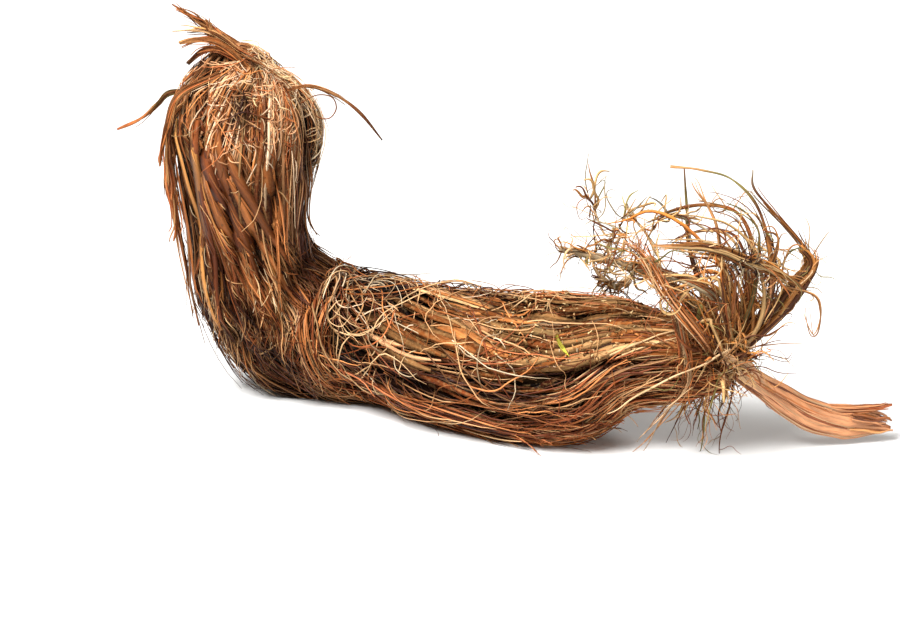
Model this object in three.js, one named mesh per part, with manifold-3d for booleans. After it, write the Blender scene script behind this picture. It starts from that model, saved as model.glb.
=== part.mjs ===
// A dried spikenard root: a rhizome bent like a boot, in a coat of coarse fibres, with a crown of leaf bases,
// wiry rootlets, an old stem and one long leaf stalk at its growing end.
// Millimetres, +Z up, +Y away from the viewer. The origin is on the floor, under the heel of the boot.
import * as THREE from "three";
import { mergeVertices } from "three/addons/utils/BufferGeometryUtils.js";
import Module from "manifold-3d";

// Driving dimensions
const ARM_RADIUS = 9.6; // half the thickness of the arm with its fibres
const RIDGES = 15; // coarse strands that show round the arm
const RIDGE_DEPTH = 0.9;
const SKIN_STEPS = 48; // rings along the arm
const FIBRE_RADIUS = 0.42;
const BLADE_HALF = 0.34; // half the thickness of a flat dry strip
const STALK_HALF = 0.6; // half the thickness of the leaf stalk
const STEM_RADIUS = 0.85;
const BUNDLE_HALF = 0.5; // half the thickness of the fibre bundle
const ROOTLETS = 34;
const ROOTLET_LENGTH = [8, 19];
const SINK = 0.7; // how deep a fibre's root is sunk in what it grows from
const GAP = 0.32; // clearance that neighbouring pieces keep
const HEEL = { across: -28, depth: 15.5 }; // where the heel stands, in the measures that the tables below use
const SIGHT_TILT = THREE.MathUtils.degToRad(20); // the heights below are measured at this slant from above
const SEED = 20240611;

const FULL_TURN = Math.PI * 2;
const GOLDEN_ANGLE = Math.PI * (3 - Math.sqrt(5));
const BACK = new THREE.Vector3(0, 1, 0);

const wasm = await Module();
wasm.setup();

// A point given as seen from the front: millimetres across, millimetres up the slanted view, and depth
function seen([across, up, depth]) {
  const height = (up - depth * Math.sin(SIGHT_TILT)) / Math.cos(SIGHT_TILT);
  return new THREE.Vector3(across - HEEL.across, depth - HEEL.depth, height);
}

// Repeatable random numbers from 0 to 1
function randomFrom(seed) {
  let state = seed;
  return () => {
    state = (state + 0x6d2b79f5) | 0;
    let mixed = Math.imul(state ^ (state >>> 15), 1 | state);
    mixed = (mixed + Math.imul(mixed ^ (mixed >>> 7), 61 | mixed)) ^ mixed;
    return ((mixed ^ (mixed >>> 14)) >>> 0) / 2 ** 32;
  };
}

const random = randomFrom(SEED);
const between = ([low, high]) => THREE.MathUtils.lerp(low, high, random());
const list = (count, make) => Array.from({ length: count }, (_, i) => make(i));

// Solids and meshes

function solidOf(geometry) {
  const merged = mergeVertices(geometry);
  const triVerts = new Uint32Array(merged.index.array);
  const vertProperties = new Float32Array(merged.attributes.position.array);
  return new wasm.Manifold(new wasm.Mesh({ numProp: 3, vertProperties, triVerts }));
}

const joined = (solids) => solids.reduce((whole, solid) => whole.add(solid));

const withoutScraps = (solid) => solid.decompose().reduce((a, b) => (a.volume() > b.volume() ? a : b));

// What stands above the floor
const onFloor = (solid) => withoutScraps(solid.trimByPlane([0, 0, 1], 0));

function meshOf(name, solid, material) {
  const { vertProperties, triVerts } = solid.getMesh();
  const geometry = new THREE.BufferGeometry();
  geometry.setAttribute("position", new THREE.BufferAttribute(vertProperties, 3));
  geometry.setIndex(new THREE.BufferAttribute(triVerts, 1));
  geometry.computeVertexNormals();
  const mesh = new THREE.Mesh(geometry, material);
  mesh.name = name;
  return mesh;
}

// A closed skin over rings of points, each ring of the same count, with a point at either end
function loft(rings) {
  const around = rings[0].length;
  const middle = (ring) => ring.reduce((sum, p) => sum.add(p), new THREE.Vector3()).divideScalar(around);
  const points = [...rings.flat(), middle(rings[0]), middle(rings.at(-1))];
  const first = rings.length * around;
  const last = (rings.length - 1) * around;
  const faces = [];
  for (let j = 0; j < around; j++) {
    const next = (j + 1) % around;
    for (let i = 0; i < last; i += around) {
      faces.push(i + j, i + next, i + around + next, i + j, i + around + next, i + around + j);
    }
    faces.push(first, next, j, first + 1, last + j, last + next);
  }
  const geometry = new THREE.BufferGeometry();
  const numbers = new Float32Array(points.flatMap((p) => p.toArray()));
  geometry.setAttribute("position", new THREE.BufferAttribute(numbers, 3));
  geometry.setIndex(faces);
  const solid = solidOf(geometry);
  return solid.volume() > 0 ? solid : solidOf(geometry.setIndex(faces.reverse()));
}

// A strip or fibre along points. Its section is a triangle, or a diamond if a half thickness is given. Its
// half width goes through the widths in even steps, and grow swells it all round.
function strip(points, widths, { half = null, steps = 10, grow = 0 } = {}) {
  const curve = new THREE.CatmullRomCurve3(points, false, "centripetal");
  const frames = curve.computeFrenetFrames(steps);
  const corners = half === null ? 3 : 4;
  const ring = (i) => {
    const place = (i / steps) * (widths.length - 1);
    const before = Math.min(Math.floor(place), widths.length - 2);
    const wide = THREE.MathUtils.lerp(widths[before], widths[before + 1], place - before) + grow;
    const thick = half === null ? wide : half + grow;
    const ends = i === 0 ? -grow : i === steps ? grow : 0;
    const centre = curve.getPointAt(i / steps).addScaledVector(frames.tangents[i], ends);
    return list(corners, (j) =>
      centre
        .clone()
        .addScaledVector(frames.binormals[i], Math.cos((j / corners) * FULL_TURN) * wide)
        .addScaledVector(frames.normals[i], Math.sin((j / corners) * FULL_TURN) * thick),
    );
  };
  return loft(list(steps + 1, ring));
}

// The arm's middle line, from the top of the upright arm round the elbow to the crown: across, up, depth and
// girth as a share of ARM_RADIUS
const SPINE = [
  [-46.2, 56.8, 17.5, 0.36],
  [-45.6, 53.4, 17.5, 0.84],
  [-44.5, 46.6, 17.5, 1.14],
  [-44.7, 39.0, 18.0, 1.04],
  [-44.3, 30.4, 18.5, 0.9],
  [-42.0, 22.4, 18.5, 0.95],
  [-37.0, 15.9, 18.0, 1.06],
  [-29.5, 13.4, 16.0, 1.08],
  [-21.0, 12.4, 11.5, 1.05],
  [-12.0, 10.8, 5.0, 1.08],
  [-3.0, 9.6, 0.5, 1.12],
  [4.8, 10.0, -2.5, 1.05],
  [12.3, 11.4, -5.5, 0.8],
  [18.8, 11.1, -7.5, 0.64],
  [23.4, 10.7, -8.5, 0.54],
];
const spineCurve = new THREE.CatmullRomCurve3(SPINE.map(seen), false, "centripetal");
const girthCurve = new THREE.CatmullRomCurve3(SPINE.map((row) => new THREE.Vector3(row[3], 0, 0)));

// Slow swellings of the coat: lobes round the arm, waves along it, and height
const SWELLINGS = [
  { lobes: 2, waves: 17, height: 0.35 },
  { lobes: 3, waves: -29, height: 0.3 },
];

// A point of the coat's surface, at a share of the arm's stations. Turn 0 is the inner side of the bend, and
// a quarter turn on is the far side.
function onCoat(share, turn, lift = 0) {
  const along = spineCurve.getTangent(share);
  const far = BACK.clone().addScaledVector(along, -BACK.dot(along)).normalize();
  const inner = new THREE.Vector3().crossVectors(along, far);
  const radius = girthCurve.getPoint(share).x * ARM_RADIUS;
  const swell = ({ lobes, waves, height }) => height * Math.sin(lobes * turn + waves * share);
  const reach = SWELLINGS.reduce((sum, swelling) => sum + swell(swelling), radius + lift);
  return spineCurve
    .getPoint(share)
    .addScaledVector(inner, Math.cos(turn) * reach)
    .addScaledVector(far, Math.sin(turn) * reach);
}

// How far the strands have leaned round the arm, in radians
const strandLean = (share) => 0.9 * Math.sin(2.6 * share) + 0.25 * Math.sin(11 * share);

// The coat is ridged with coarse strands, each a furrow and two shoulders of uneven height.
function coat() {
  const perRidge = 3;
  const around = RIDGES * perRidge;
  const unevenness = 0.15;
  const depthAt = (j, share) => (j % perRidge === 0 ? 1 : unevenness * Math.sin(j * 2.4 + share * 23));
  const ring = (share) =>
    list(around, (j) => {
      const turn = (j / around) * FULL_TURN + strandLean(share);
      return onCoat(share, turn, -RIDGE_DEPTH * depthAt(j, share));
    });
  return loft(list(SKIN_STEPS + 1, (i) => ring(i / SKIN_STEPS)));
}

// Fibres stand off the coat in three zones: along the upright arm, in a net round the elbow, and on the lying
// arm. Each zone says where they start, how far they run along the arm and drift round it, and how they lift.
const FIBRE_ZONES = [
  { count: 18, from: [0.06, 0.24], run: [0.1, 0.2], drift: [-0.7, 0.7], lift: [0.6, 1.6], freeShare: 0.35 },
  { count: 25, from: [0.3, 0.62], run: [0.05, 0.13], drift: [-1.7, 1.7], lift: [0.8, 2.2], freeShare: 0.3 },
  { count: 17, from: [0.55, 0.8], run: [0.07, 0.14], drift: [-0.6, 0.6], lift: [0.6, 1.8], freeShare: 0.4 },
];
const FIBRE_END = 0.93; // no fibre of the coat runs past this share of the arm

// A fibre of the coat arches off it between sunk ends, or stays free at its far end.
function coatFibre(zone, n) {
  const from = between(zone.from);
  const to = Math.min(from + between(zone.run), FIBRE_END);
  const turn = ((n + random()) / zone.count) * FULL_TURN;
  const drift = between(zone.drift);
  const lift = between(zone.lift);
  const arc = random() < zone.freeShare ? 0.62 * Math.PI : Math.PI;
  const points = list(6, (k) => {
    const part = k / 5;
    const height = Math.sin(arc * part) * (lift + SINK) - SINK;
    return onCoat(THREE.MathUtils.lerp(from, to, part), turn + drift * part, height);
  });
  return strip(points, [FIBRE_RADIUS, FIBRE_RADIUS, FIBRE_RADIUS * 0.7], { steps: 7 });
}

const coatFibres = () => FIBRE_ZONES.flatMap((zone) => list(zone.count, (n) => coatFibre(zone, n)));

// Flat fibre strips that fray from the top of the upright arm: three in a tuft on the peak, three that hang
// down its outer side, one that flies off it, and one that arches over the crook
const TOP_STRIPS = [
  {
    path: [[-43.5, 53, 17], [-46.5, 57, 16], [-50, 60.5, 15.5], [-55, 63.8, 15]],
    widths: [1, 0.9, 0.4],
  },
  {
    path: [[-44, 53, 18], [-48, 58.4, 18.5], [-51.4, 59, 19], [-53.8, 57.2, 19]],
    widths: [1, 0.9, 0.6],
  },
  {
    path: [[-44, 53.5, 20], [-47.5, 57.8, 21], [-50.5, 60.3, 22], [-50.6, 62, 22]],
    widths: [0.7, 0.5, 0.4],
  },
  {
    path: [[-49, 50, 15], [-55.4, 47.6, 14], [-57.4, 43, 13.5], [-57.2, 40, 13.5]],
    widths: [0.9, 0.7, 0.4],
  },
  {
    path: [[-49, 49, 18], [-56, 44.5, 17], [-56.2, 39, 16.5], [-55.4, 31, 16.5], [-55.4, 28.4, 16.5]],
    widths: [0.9, 0.8, 0.5, 0.4],
  },
  {
    path: [[-49, 47, 21], [-55.4, 42, 20.5], [-55.4, 34, 20], [-53.6, 26, 19.5]],
    widths: [0.8, 0.6, 0.4],
  },
  {
    path: [[-50, 49, 17], [-56.2, 50.4, 18], [-60.2, 46.8, 19], [-63.8, 45.4, 19.5]],
    widths: [0.5, 0.9, 0.4],
  },
  {
    path: [[-37, 50, 15], [-32.2, 50.8, 14], [-28.4, 48.6, 13], [-25.4, 45.6, 12.5], [-23.7, 43.4, 12]],
    widths: [0.6, 0.7, 0.6, 0.4],
  },
];

const flatStrips = (rows, steps, grow = 0) =>
  rows.map(({ path, widths, half = BLADE_HALF }) => strip(path.map(seen), widths, { half, steps, grow }));

// The crown's core is the growing tip that the leaf bases and rootlets stand in, and it starts where the arm
// ends: across, up, depth and radius
const CORE = [
  [24.0, 10.7, -8.65, 5.0],
  [26.4, 10.5, -9.2, 4.6],
  [28.6, 10.3, -9.9, 3.4],
  [30.2, 10.2, -10.4, 1.6],
];

function crownCore() {
  const sides = 12;
  const groove = 0.86; // every other corner lies in a groove
  const frames = new THREE.CatmullRomCurve3(CORE.map(seen)).computeFrenetFrames(CORE.length - 1);
  const ring = (row, i) =>
    list(sides, (j) => {
      const turn = (j / sides) * FULL_TURN;
      const reach = row[3] * (j % 2 ? 1 : groove);
      return seen(row)
        .addScaledVector(frames.normals[i], Math.cos(turn) * reach)
        .addScaledVector(frames.binormals[i], Math.sin(turn) * reach);
    });
  return loft(CORE.map(ring));
}

// The dry leaf bases that stand in the core, each as one or two flat strips. The longest is the leaf stalk,
// whose end is split in two.
const LEAVES = {
  leaf_stalk: [
    {
      path: [
        [26.4, 10.4, -9.6], [29.4, 9, -10.5], [34.5, 5.8, -10], [39.8, 2.6, -8.2], [45.8, 1, -6.4],
        [52.6, 0.2, -5],
      ],
      widths: [1.3, 2.3, 2.9, 2.9, 2.6, 2],
      half: STALK_HALF,
    },
    {
      path: [[41.5, 3.4, -7.6], [45.5, 2.9, -6.3], [49.5, 3.2, -5.6], [52.8, 3.8, -5.2]],
      widths: [0.9, 1, 0.9, 0.4],
      half: STALK_HALF * 0.8,
    },
  ],
  leaf_base_knee: [
    {
      path: [
        [27.8, 11.2, -9.4], [31.4, 14.4, -9], [35.6, 18.4, -8.5], [38.6, 22.2, -8], [40.2, 25, -7.5],
        [38.6, 28, -7], [34.8, 32.2, -6.5], [31.6, 36, -6], [31.4, 38.8, -5.5],
      ],
      widths: [1.2, 1.5, 1.4, 1.3, 1.2, 0.6, 0.5, 0.5, 0.4],
      half: STALK_HALF * 0.8,
    },
  ],
  leaf_base_arc: [
    {
      path: [
        [27.2, 11.4, -8], [31.4, 18, -5.5], [31.8, 26.4, -4.5], [29.4, 32.2, -4], [24.6, 33.6, -4],
        [19.6, 32.8, -4.5], [16, 31, -5],
      ],
      widths: [0.8, 0.8, 0.6, 0.5, 0.5, 0.5, 0.4],
    },
  ],
  leaf_base_curl: [
    {
      path: [
        [28.2, 11, -11], [33.2, 17.6, -12], [34.2, 24.6, -12.5], [32.2, 32.6, -12], [28.2, 37.2, -11.5],
        [23.4, 38.7, -11], [19, 39.1, -11],
      ],
      widths: [1, 1.2, 1.1, 0.5, 0.7, 0.6, 0.6],
    },
  ],
  leaf_base_upright: [
    {
      path: [[27, 12, -6.4], [24.6, 19.6, -1], [22.2, 27.6, 0], [21.8, 33.4, 0.5], [21.4, 39.3, 0.5]],
      widths: [0.8, 0.9, 0.8, 0.5, 0.4],
    },
  ],
  leaf_base_band: [
    {
      path: [
        [28.4, 10.8, -12.2], [28.2, 18, -14.5], [27.6, 23.6, -15], [25.2, 26.6, -15], [21.2, 27.4, -15],
        [16.4, 27.5, -15],
      ],
      widths: [0.9, 1.2, 1.1, 1, 0.9, 0.6],
    },
    {
      path: [[27.6, 22.4, -15], [29.6, 24.8, -15], [33.6, 24.2, -14.8], [37, 22.4, -14.4], [38.8, 21.2, -14]],
      widths: [0.8, 1, 0.9, 0.8, 0.5],
    },
  ],
};

const leaf = (name, grow = 0) => joined(flatStrips(LEAVES[name], 14, grow));

// The woody stump of a flowering stem, and a bundle of fibres that lies over the end of the arm
const STEM_PATH = [[25, 13, -6.8], [22.4, 18.6, -6.4], [18.2, 22.6, -5], [10.4, 25.4, -3.4], [2.8, 27.1, -2]];
const BUNDLE_PATHS = [
  [[25.4, 11.6, -12.2], [23.4, 14.4, -15.6], [18.6, 20.2, -15.6], [15.2, 25.8, -13.4], [11.6, 28.8, -11.4]],
  [[19.9, 17.6, -15.6], [21.2, 11.8, -15.4], [21.6, 7, -15], [17.4, 1.4, -16.5], [13.4, -3.4, -19]],
];

function oldStem(grow = 0) {
  const widths = [STEM_RADIUS, STEM_RADIUS, STEM_RADIUS * 1.2];
  return joined(flatStrips([{ path: STEM_PATH, widths, half: STEM_RADIUS }], 12, grow));
}

function fibreBundle(grow = 0) {
  const widths = [0.7, 0.85, 0.8, 0.6];
  return joined(flatStrips(BUNDLE_PATHS.map((path) => ({ path, widths, half: BUNDLE_HALF })), 12, grow));
}

// Rootlets that the rule below would not give: a pale one across the front, and a thick curly one at the back
const LONE_ROOTLETS = [
  [[28.2, 11.4, -13], [26, 11.1, -15.2], [20, 8.2, -16.4], [13.4, 4.8, -16.2], [10.4, 2.6, -15.6]],
  [
    [25.4, 11.6, -6.4], [20.6, 18.6, 0.4], [16.8, 25.8, 1.6], [11.6, 21.4, 2.4], [8.8, 23.4, 3],
    [7.6, 26.4, 3.4],
  ],
];
const ROOTLET_WIDTHS = [FIBRE_RADIUS * 1.2, FIBRE_RADIUS, FIBRE_RADIUS * 0.85];

// A wiry rootlet springs from the core, sways to one side and back, and droops towards the floor.
function rootlet(n) {
  const row = CORE[n % (CORE.length - 1)];
  const turn = n * GOLDEN_ANGLE;
  const length = between(ROOTLET_LENGTH);
  const out = new THREE.Vector3(between([0.25, 0.95]), Math.cos(turn), Math.sin(turn)).normalize();
  const side = new THREE.Vector3().crossVectors(out, BACK).normalize();
  const sway = between([-0.22, 0.22]) * length;
  const bow = new THREE.Vector3(between([-0.45, 0.45]), between([-0.45, 0.45]), between([-0.7, 0.2]));
  const points = [0, 0.3, 0.55, 0.8, 1].map((part) =>
    seen(row)
      .addScaledVector(out, row[3] * 0.4 + length * part)
      .addScaledVector(side, sway * Math.sin(1.5 * Math.PI * part))
      .addScaledVector(bow, length * part * part),
  );
  return strip(points, ROOTLET_WIDTHS, { steps: 6 });
}

function rootlets() {
  const lone = LONE_ROOTLETS.map((path) => strip(path.map(seen), ROOTLET_WIDTHS));
  return [...lone, ...list(ROOTLETS, rootlet)];
}

// The space that the end of the arm takes, which the crown is kept out of
function armRoom() {
  const start = 0.4; // share of the arm from which rootlets could reach it
  const count = 24;
  const lift = GAP + SWELLINGS[0].height;
  const ring = (share) => list(count, (j) => onCoat(share, (j / count) * FULL_TURN, lift));
  return loft(list(count + 1, (i) => ring(THREE.MathUtils.lerp(start, 1, i / count))));
}

// Assembly: the arm and the crown leave room for the pieces that stand in them.

const COLOURS = {
  coat: 0x6b4324,
  rootlets: 0x7c5a33,
  stalk: 0xb4683c,
  leaf: 0xa9682f,
  stem: 0x94805c,
  bundle: 0x8c4d31,
};

function finish(colour, roughness) {
  return new THREE.MeshStandardMaterial({ color: colour, roughness, metalness: 0 });
}

const leafNames = Object.keys(LEAVES);
const room = joined([oldStem(GAP), fibreBundle(GAP), ...leafNames.map((name) => leaf(name, GAP))]);
const arm = joined([coat(), ...coatFibres(), ...flatStrips(TOP_STRIPS, 9)]).subtract(room);
const crown = joined([crownCore(), ...rootlets()]).subtract(room).subtract(armRoom());

const root = new THREE.Group();
root.add(meshOf("rhizome", onFloor(arm), finish(COLOURS.coat, 0.85)));
root.add(meshOf("crown_rootlets", onFloor(crown), finish(COLOURS.rootlets, 0.8)));
root.add(meshOf("old_stem", onFloor(oldStem()), finish(COLOURS.stem, 0.75)));
root.add(meshOf("fibre_bundle", onFloor(fibreBundle()), finish(COLOURS.bundle, 0.7)));
for (const name of leafNames) {
  const look = name === "leaf_stalk" ? finish(COLOURS.stalk, 0.5) : finish(COLOURS.leaf, 0.65);
  root.add(meshOf(name, onFloor(leaf(name)), look));
}

export default root;
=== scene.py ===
import math

import bpy
import numpy as np
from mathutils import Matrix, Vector


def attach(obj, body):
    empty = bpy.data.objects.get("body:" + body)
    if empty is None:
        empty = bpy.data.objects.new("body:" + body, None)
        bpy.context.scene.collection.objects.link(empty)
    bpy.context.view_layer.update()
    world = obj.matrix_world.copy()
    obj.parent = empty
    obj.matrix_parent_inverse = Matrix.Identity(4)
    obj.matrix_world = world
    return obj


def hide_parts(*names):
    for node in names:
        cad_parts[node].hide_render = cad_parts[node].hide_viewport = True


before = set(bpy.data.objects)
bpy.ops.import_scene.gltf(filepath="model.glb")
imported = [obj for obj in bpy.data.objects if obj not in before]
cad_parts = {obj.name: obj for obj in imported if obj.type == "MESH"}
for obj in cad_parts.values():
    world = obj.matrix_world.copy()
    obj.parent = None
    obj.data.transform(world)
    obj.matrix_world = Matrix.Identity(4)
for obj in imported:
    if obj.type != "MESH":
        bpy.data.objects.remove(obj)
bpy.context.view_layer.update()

# A dried spikenard root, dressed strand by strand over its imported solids.
# Shapes are worked out in millimetres, and meshes are made in metres.

MM = 0.001
SEED = 4334
FULL_TURN = 2 * math.pi
SIGHT_TILT = math.radians(20)  # the photograph looks down at this slant
HEEL_ACROSS = -28.0  # where the frame's origin lies in the measures of the tables below
HEEL_DEPTH = 15.5
BACK = np.array([0.0, 1.0, 0.0])
TOWARDS_VIEWER = np.array([0.0, -math.cos(SIGHT_TILT), math.sin(SIGHT_TILT)])
HANG = np.array([0.28, -0.1, -0.95])  # the way that loose strands hang on the upright arm
FLOOR_CLEARANCE = 0.02
COAT_SINK = 0.6  # how far the coat lies within the girth below, to leave room for loose strands

LIGHTEST = 0.62  # the most red light that a strand throws back
MID_TONE = 0.25  # strands with more red light than this are faded, and others are redder
FADING = np.array([0, 0.19, 0.42])  # how strongly, in red, green and blue

ARM_RADIUS = 9.6
ARM_RUN = 117  # about the arm's length
STATIONS = 600
PATH_ROWS = 80  # points worked out along a path
CORE_ROWS = 40  # and along the crown's core
FURROW_DEPTH = 1.7
ELBOW_FOLD = 0.62  # the depth of the fold over the elbow, as a share of a furrow's
SOLE_ARCH = 2.4  # how far the underside rises between heel and ball
STREAKS_APART = 7.31  # keeps the streaks of one strand unlike those of the next
VIEW_CENTRE = (-13.5, 17.9, 0)  # the place in the middle of the photograph's view

# The arm's middle line from the top of the upright arm to the crown: across, up, depth, and girth as a
# share of ARM_RADIUS. Places along it are given as shares of it up to the crown, which its last row lies
# past.
SPINE = [
    (-46.2, 56.8, 17.5, 0.36),
    (-45.6, 53.4, 17.5, 0.84),
    (-44.5, 46.6, 17.5, 1.14),
    (-44.7, 39.0, 18.0, 1.04),
    (-44.3, 30.4, 18.5, 0.90),
    (-42.0, 22.4, 18.5, 0.95),
    (-37.0, 15.9, 18.0, 1.06),
    (-29.5, 13.4, 16.0, 1.08),
    (-21.0, 12.4, 11.5, 1.05),
    (-12.0, 10.8, 5.0, 1.08),
    (-3.0, 9.6, 0.5, 1.12),
    (4.8, 10.0, -2.5, 1.05),
    (12.3, 11.4, -5.5, 0.80),
    (18.8, 11.1, -7.5, 0.64),
    (23.4, 10.7, -8.5, 0.54),
    (28.4, 10.4, -9.7, 0.34),
]

# Furrows in the coat, sunk into it and darkened with painted shade: the share of the arm and the reach
# along it,
# # the turn in degrees and the reach round it, and how far a furrow drifts round on its way. The third is a
# matted hollow.
FURROWS = [
    (0.12, 0.075, -125, 4, 0.0),
    (0.2, 0.08, -142, 5, 0.5),
    (0.1, 0.035, -88, 20, 0.0),
    (0.21, 0.05, -64, 4, -0.6),
    (0.27, 0.06, -100, 4, 0.8),
    (0.33, 0.05, -118, 5, 0.6),
    (0.3, 0.04, -80, 5, 0.0),
    (0.16, 0.04, -30, 8, 0.0),
    (0.37, 0.03, -104, 5, 0.6),
    (0.4, 0.03, -126, 8, 0.6),
    (0.385, 0.04, -150, 7, 0.6),
    (0.44, 0.03, -108, 7, -0.6),
    (0.2, 0.1, 160, 5, 0.3),
    (0.15, 0.08, 95, 5, 0.0),
    (0.28, 0.06, 120, 5, 0.4),
    (0.56, 0.04, -120, 6, -2.0),
    (0.63, 0.05, -95, 5, -2.0),
    (0.72, 0.05, -112, 5, -1.5),
    (0.82, 0.08, -78, 5, -0.5),
    (0.79, 0.05, -24, 3, -0.6),
    (0.86, 0.05, -20, 4, 0.5),
    (0.6, 0.05, 60, 5, -2.0),
    (0.75, 0.06, 110, 5, -1.0),
]

# How light the coat is at shares of the arm: the top is lighter, partly bleached and partly painted light,
# and the elbow is darker as painted shade
BLEACH_AND_PAINTED_LIGHT = ([0, 0.1, 0.2, 0.32, 0.5, 0.62, 0.75, 1], [2.3, 2.2, 0.72, 0.58, 0.5, 1.1, 1.06, 1.1])

# How far strands of one clump differ: in share of the arm, in turn and heading in radians, in curl as a
# share of the family's own, and in lift in millimetres
CLUMP_SCATTER = dict(share=0.02, turn=0.075, heading=0.05, curl=0.3, lift=0.15)
CLUMP_TONE = -0.18  # the mean tone of clumps, as a logarithm
ROOT_DIP = 0.5  # how far a strand's root sinks into the coat
BODY_RELIEF = 1.6  # the depth of the matted body's ridges

# How light strands are at heights over the coat, as painted shade and light: deep ones are darkened as if
# shaded by those above, and the highest are lightened
DEPTH_LIGHT = ([-1.0, 0.0, 0.5, 1.0, 1.5], [0.05, 0.2, 0.62, 1.3, 1.7])

# Colours of the dry plant
SOOT = "#1d0e07"
DARK = "#3a1a0b"
UMBER = "#5c3015"
BROWN = "#75431f"
RED_BROWN = "#884724"
RUST = "#96562a"
GOLD = "#b98250"
AMBER = "#c89662"
STRAW = "#d9b386"
PINK = "#966641"
ROSE = "#c19870"
DUST = "#966c42"
SAND = "#a88456"
OLIVE = "#75693a"
MOSS = "#a3952f"
GREY_WOOD = "#8b7a60"
CORAL = "#c8895c"
LEAF_BROWN = "#8f5c2c"
ORANGE = "#b46c2e"


# Small helpers


def seen(rows):
    """Points given as seen from the front: across, up the slanted view, and depth."""
    rows = np.asarray(rows, float)
    height = (rows[..., 1] - rows[..., 2] * math.sin(SIGHT_TILT)) / math.cos(SIGHT_TILT)
    return np.stack([rows[..., 0] - HEEL_ACROSS, rows[..., 2] - HEEL_DEPTH, height], -1)


def unit(vectors):
    return vectors / np.maximum(np.linalg.norm(vectors, axis=-1, keepdims=True), 1e-9)


def linear(colour):
    """A hexadecimal screen colour as linear light."""
    share = np.array([int(colour[i : i + 2], 16) for i in (1, 3, 5)]) / 255
    return np.where(share <= 0.04045, share / 12.92, ((share + 0.055) / 1.055) ** 2.4)


def spline(points, count):
    """Points at even steps of a smooth curve through the given rows."""
    points = np.asarray(points, float)
    padded = np.vstack([2 * points[0] - points[1], points, 2 * points[-1] - points[-2]])
    place = np.linspace(0, len(points) - 1, count)
    low = np.minimum(place.astype(int), len(points) - 2)
    f = (place - low)[:, None]
    a, b, c, d = (padded[low + i] for i in range(4))
    return 0.5 * (2 * b + (c - a) * f + (2 * a - 5 * b + 4 * c - d) * f**2 + (3 * b - a - 3 * c + d) * f**3)


def smoothstep(value):
    value = np.clip(value, 0, 1)
    return value * value * (3 - 2 * value)


def spread(rng, limits, shape):
    return rng.uniform(limits[0], limits[1], shape)


def waves(rng, part, beats, count):
    """A wave along each strand, with a beat and a start of its own."""
    return np.sin(part * spread(rng, beats, (count, 1)) + spread(rng, (0, 6), (count, 1)))


# The coat's surface

END_SHARE = (len(SPINE) - 1) / (len(SPINE) - 2)
spine_rows = spline(SPINE, STATIONS)
MIDDLE = seen(spine_rows[:, :3])
ALONG = unit(np.gradient(MIDDLE, axis=0))
FAR = unit(BACK - ALONG * (ALONG @ BACK)[:, None])
INNER = np.cross(ALONG, FAR)
RADIUS = spine_rows[:, 3] * ARM_RADIUS
PACE = np.linalg.norm(np.gradient(MIDDLE, axis=0), axis=1) * (STATIONS - 1) / END_SHARE


def at(table, share):
    """The row of a table of stations at each share of the arm."""
    place = np.clip(share / END_SHARE, 0, 1) * (STATIONS - 1)
    low = np.minimum(place.astype(int), STATIONS - 2)
    part = place - low
    if table.ndim == 2:
        part = part[..., None]
    return table[low] * (1 - part) + table[low + 1] * part


def crease(share, turn):
    """The fold over the elbow, where the sheaf of the upright arm ends, and the furrows: from 0 to 1. The
    coat is sunk by it and darkened by it as painted shade.
    """
    nearness = smoothstep(0.3 - np.sin(turn))
    deep = ELBOW_FOLD * nearness * np.exp(-(((share - 0.4 + 0.07 * np.cos(turn)) / 0.026) ** 2))
    for middle, reach, place, width, drift in FURROWS:
        offset = turn - math.radians(place) - drift * (share - middle)
        offset = np.abs((offset + math.pi) % FULL_TURN - math.pi) / math.radians(width)
        deep = np.maximum(deep, np.exp(-(((share - middle) / reach) ** 4) - offset**2))
    return deep


def coat_shade(share, turn):
    """How light the coat is, as painted light and shade: its top is lighter, and its furrows and folds are
    darkened as painted shade.
    """
    return np.interp(share, *BLEACH_AND_PAINTED_LIGHT) * (1 - 0.88 * crease(share, turn))


def one_side(cosine):
    """Full where an angle's cosine is 1, and nothing past a quarter turn from there."""
    return np.maximum(0, cosine) ** 1.5


def on_coat(share, turn, lift):
    """Points over the coat and the way out of it. Turn 0 is the inner side of the bend, and a quarter turn
    on is the far side. The top slants on its inner side, the upright arm is slimmer on its outer side, and
    the sole arches."""
    outward = np.cos(turn)[..., None] * at(INNER, share) + np.sin(turn)[..., None] * at(FAR, share)
    swell = 0.35 * np.sin(2 * turn + 17 * share) + 0.3 * np.sin(3 * turn - 29 * share)
    inner = 1.9 * smoothstep((0.2 - share) / 0.12) + 1.3 * np.exp(-(((share - 0.06) / 0.035) ** 2))
    outer = 0.9 * smoothstep((share - 0.04) / 0.06) * smoothstep((0.36 - share) / 0.1)
    sole = SOLE_ARCH * np.exp(-(((share - 0.53) / 0.075) ** 2))
    slant = inner * one_side(np.cos(turn)) + outer * one_side(-np.cos(turn))
    slant = slant + sole * one_side(np.cos(turn + math.radians(160)))
    reach = at(RADIUS, share) + swell + lift - COAT_SINK - slant - FURROW_DEPTH * crease(share, turn)
    return at(MIDDLE, share) + outward * reach[..., None], outward


def lean(share):
    """How far the strands have turned round the arm: on the lying arm they sweep down towards the
    viewer."""
    return 0.3 * smoothstep((share - 0.8) / 0.18) - 0.8 * smoothstep((share - 0.45) / 0.3)


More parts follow.
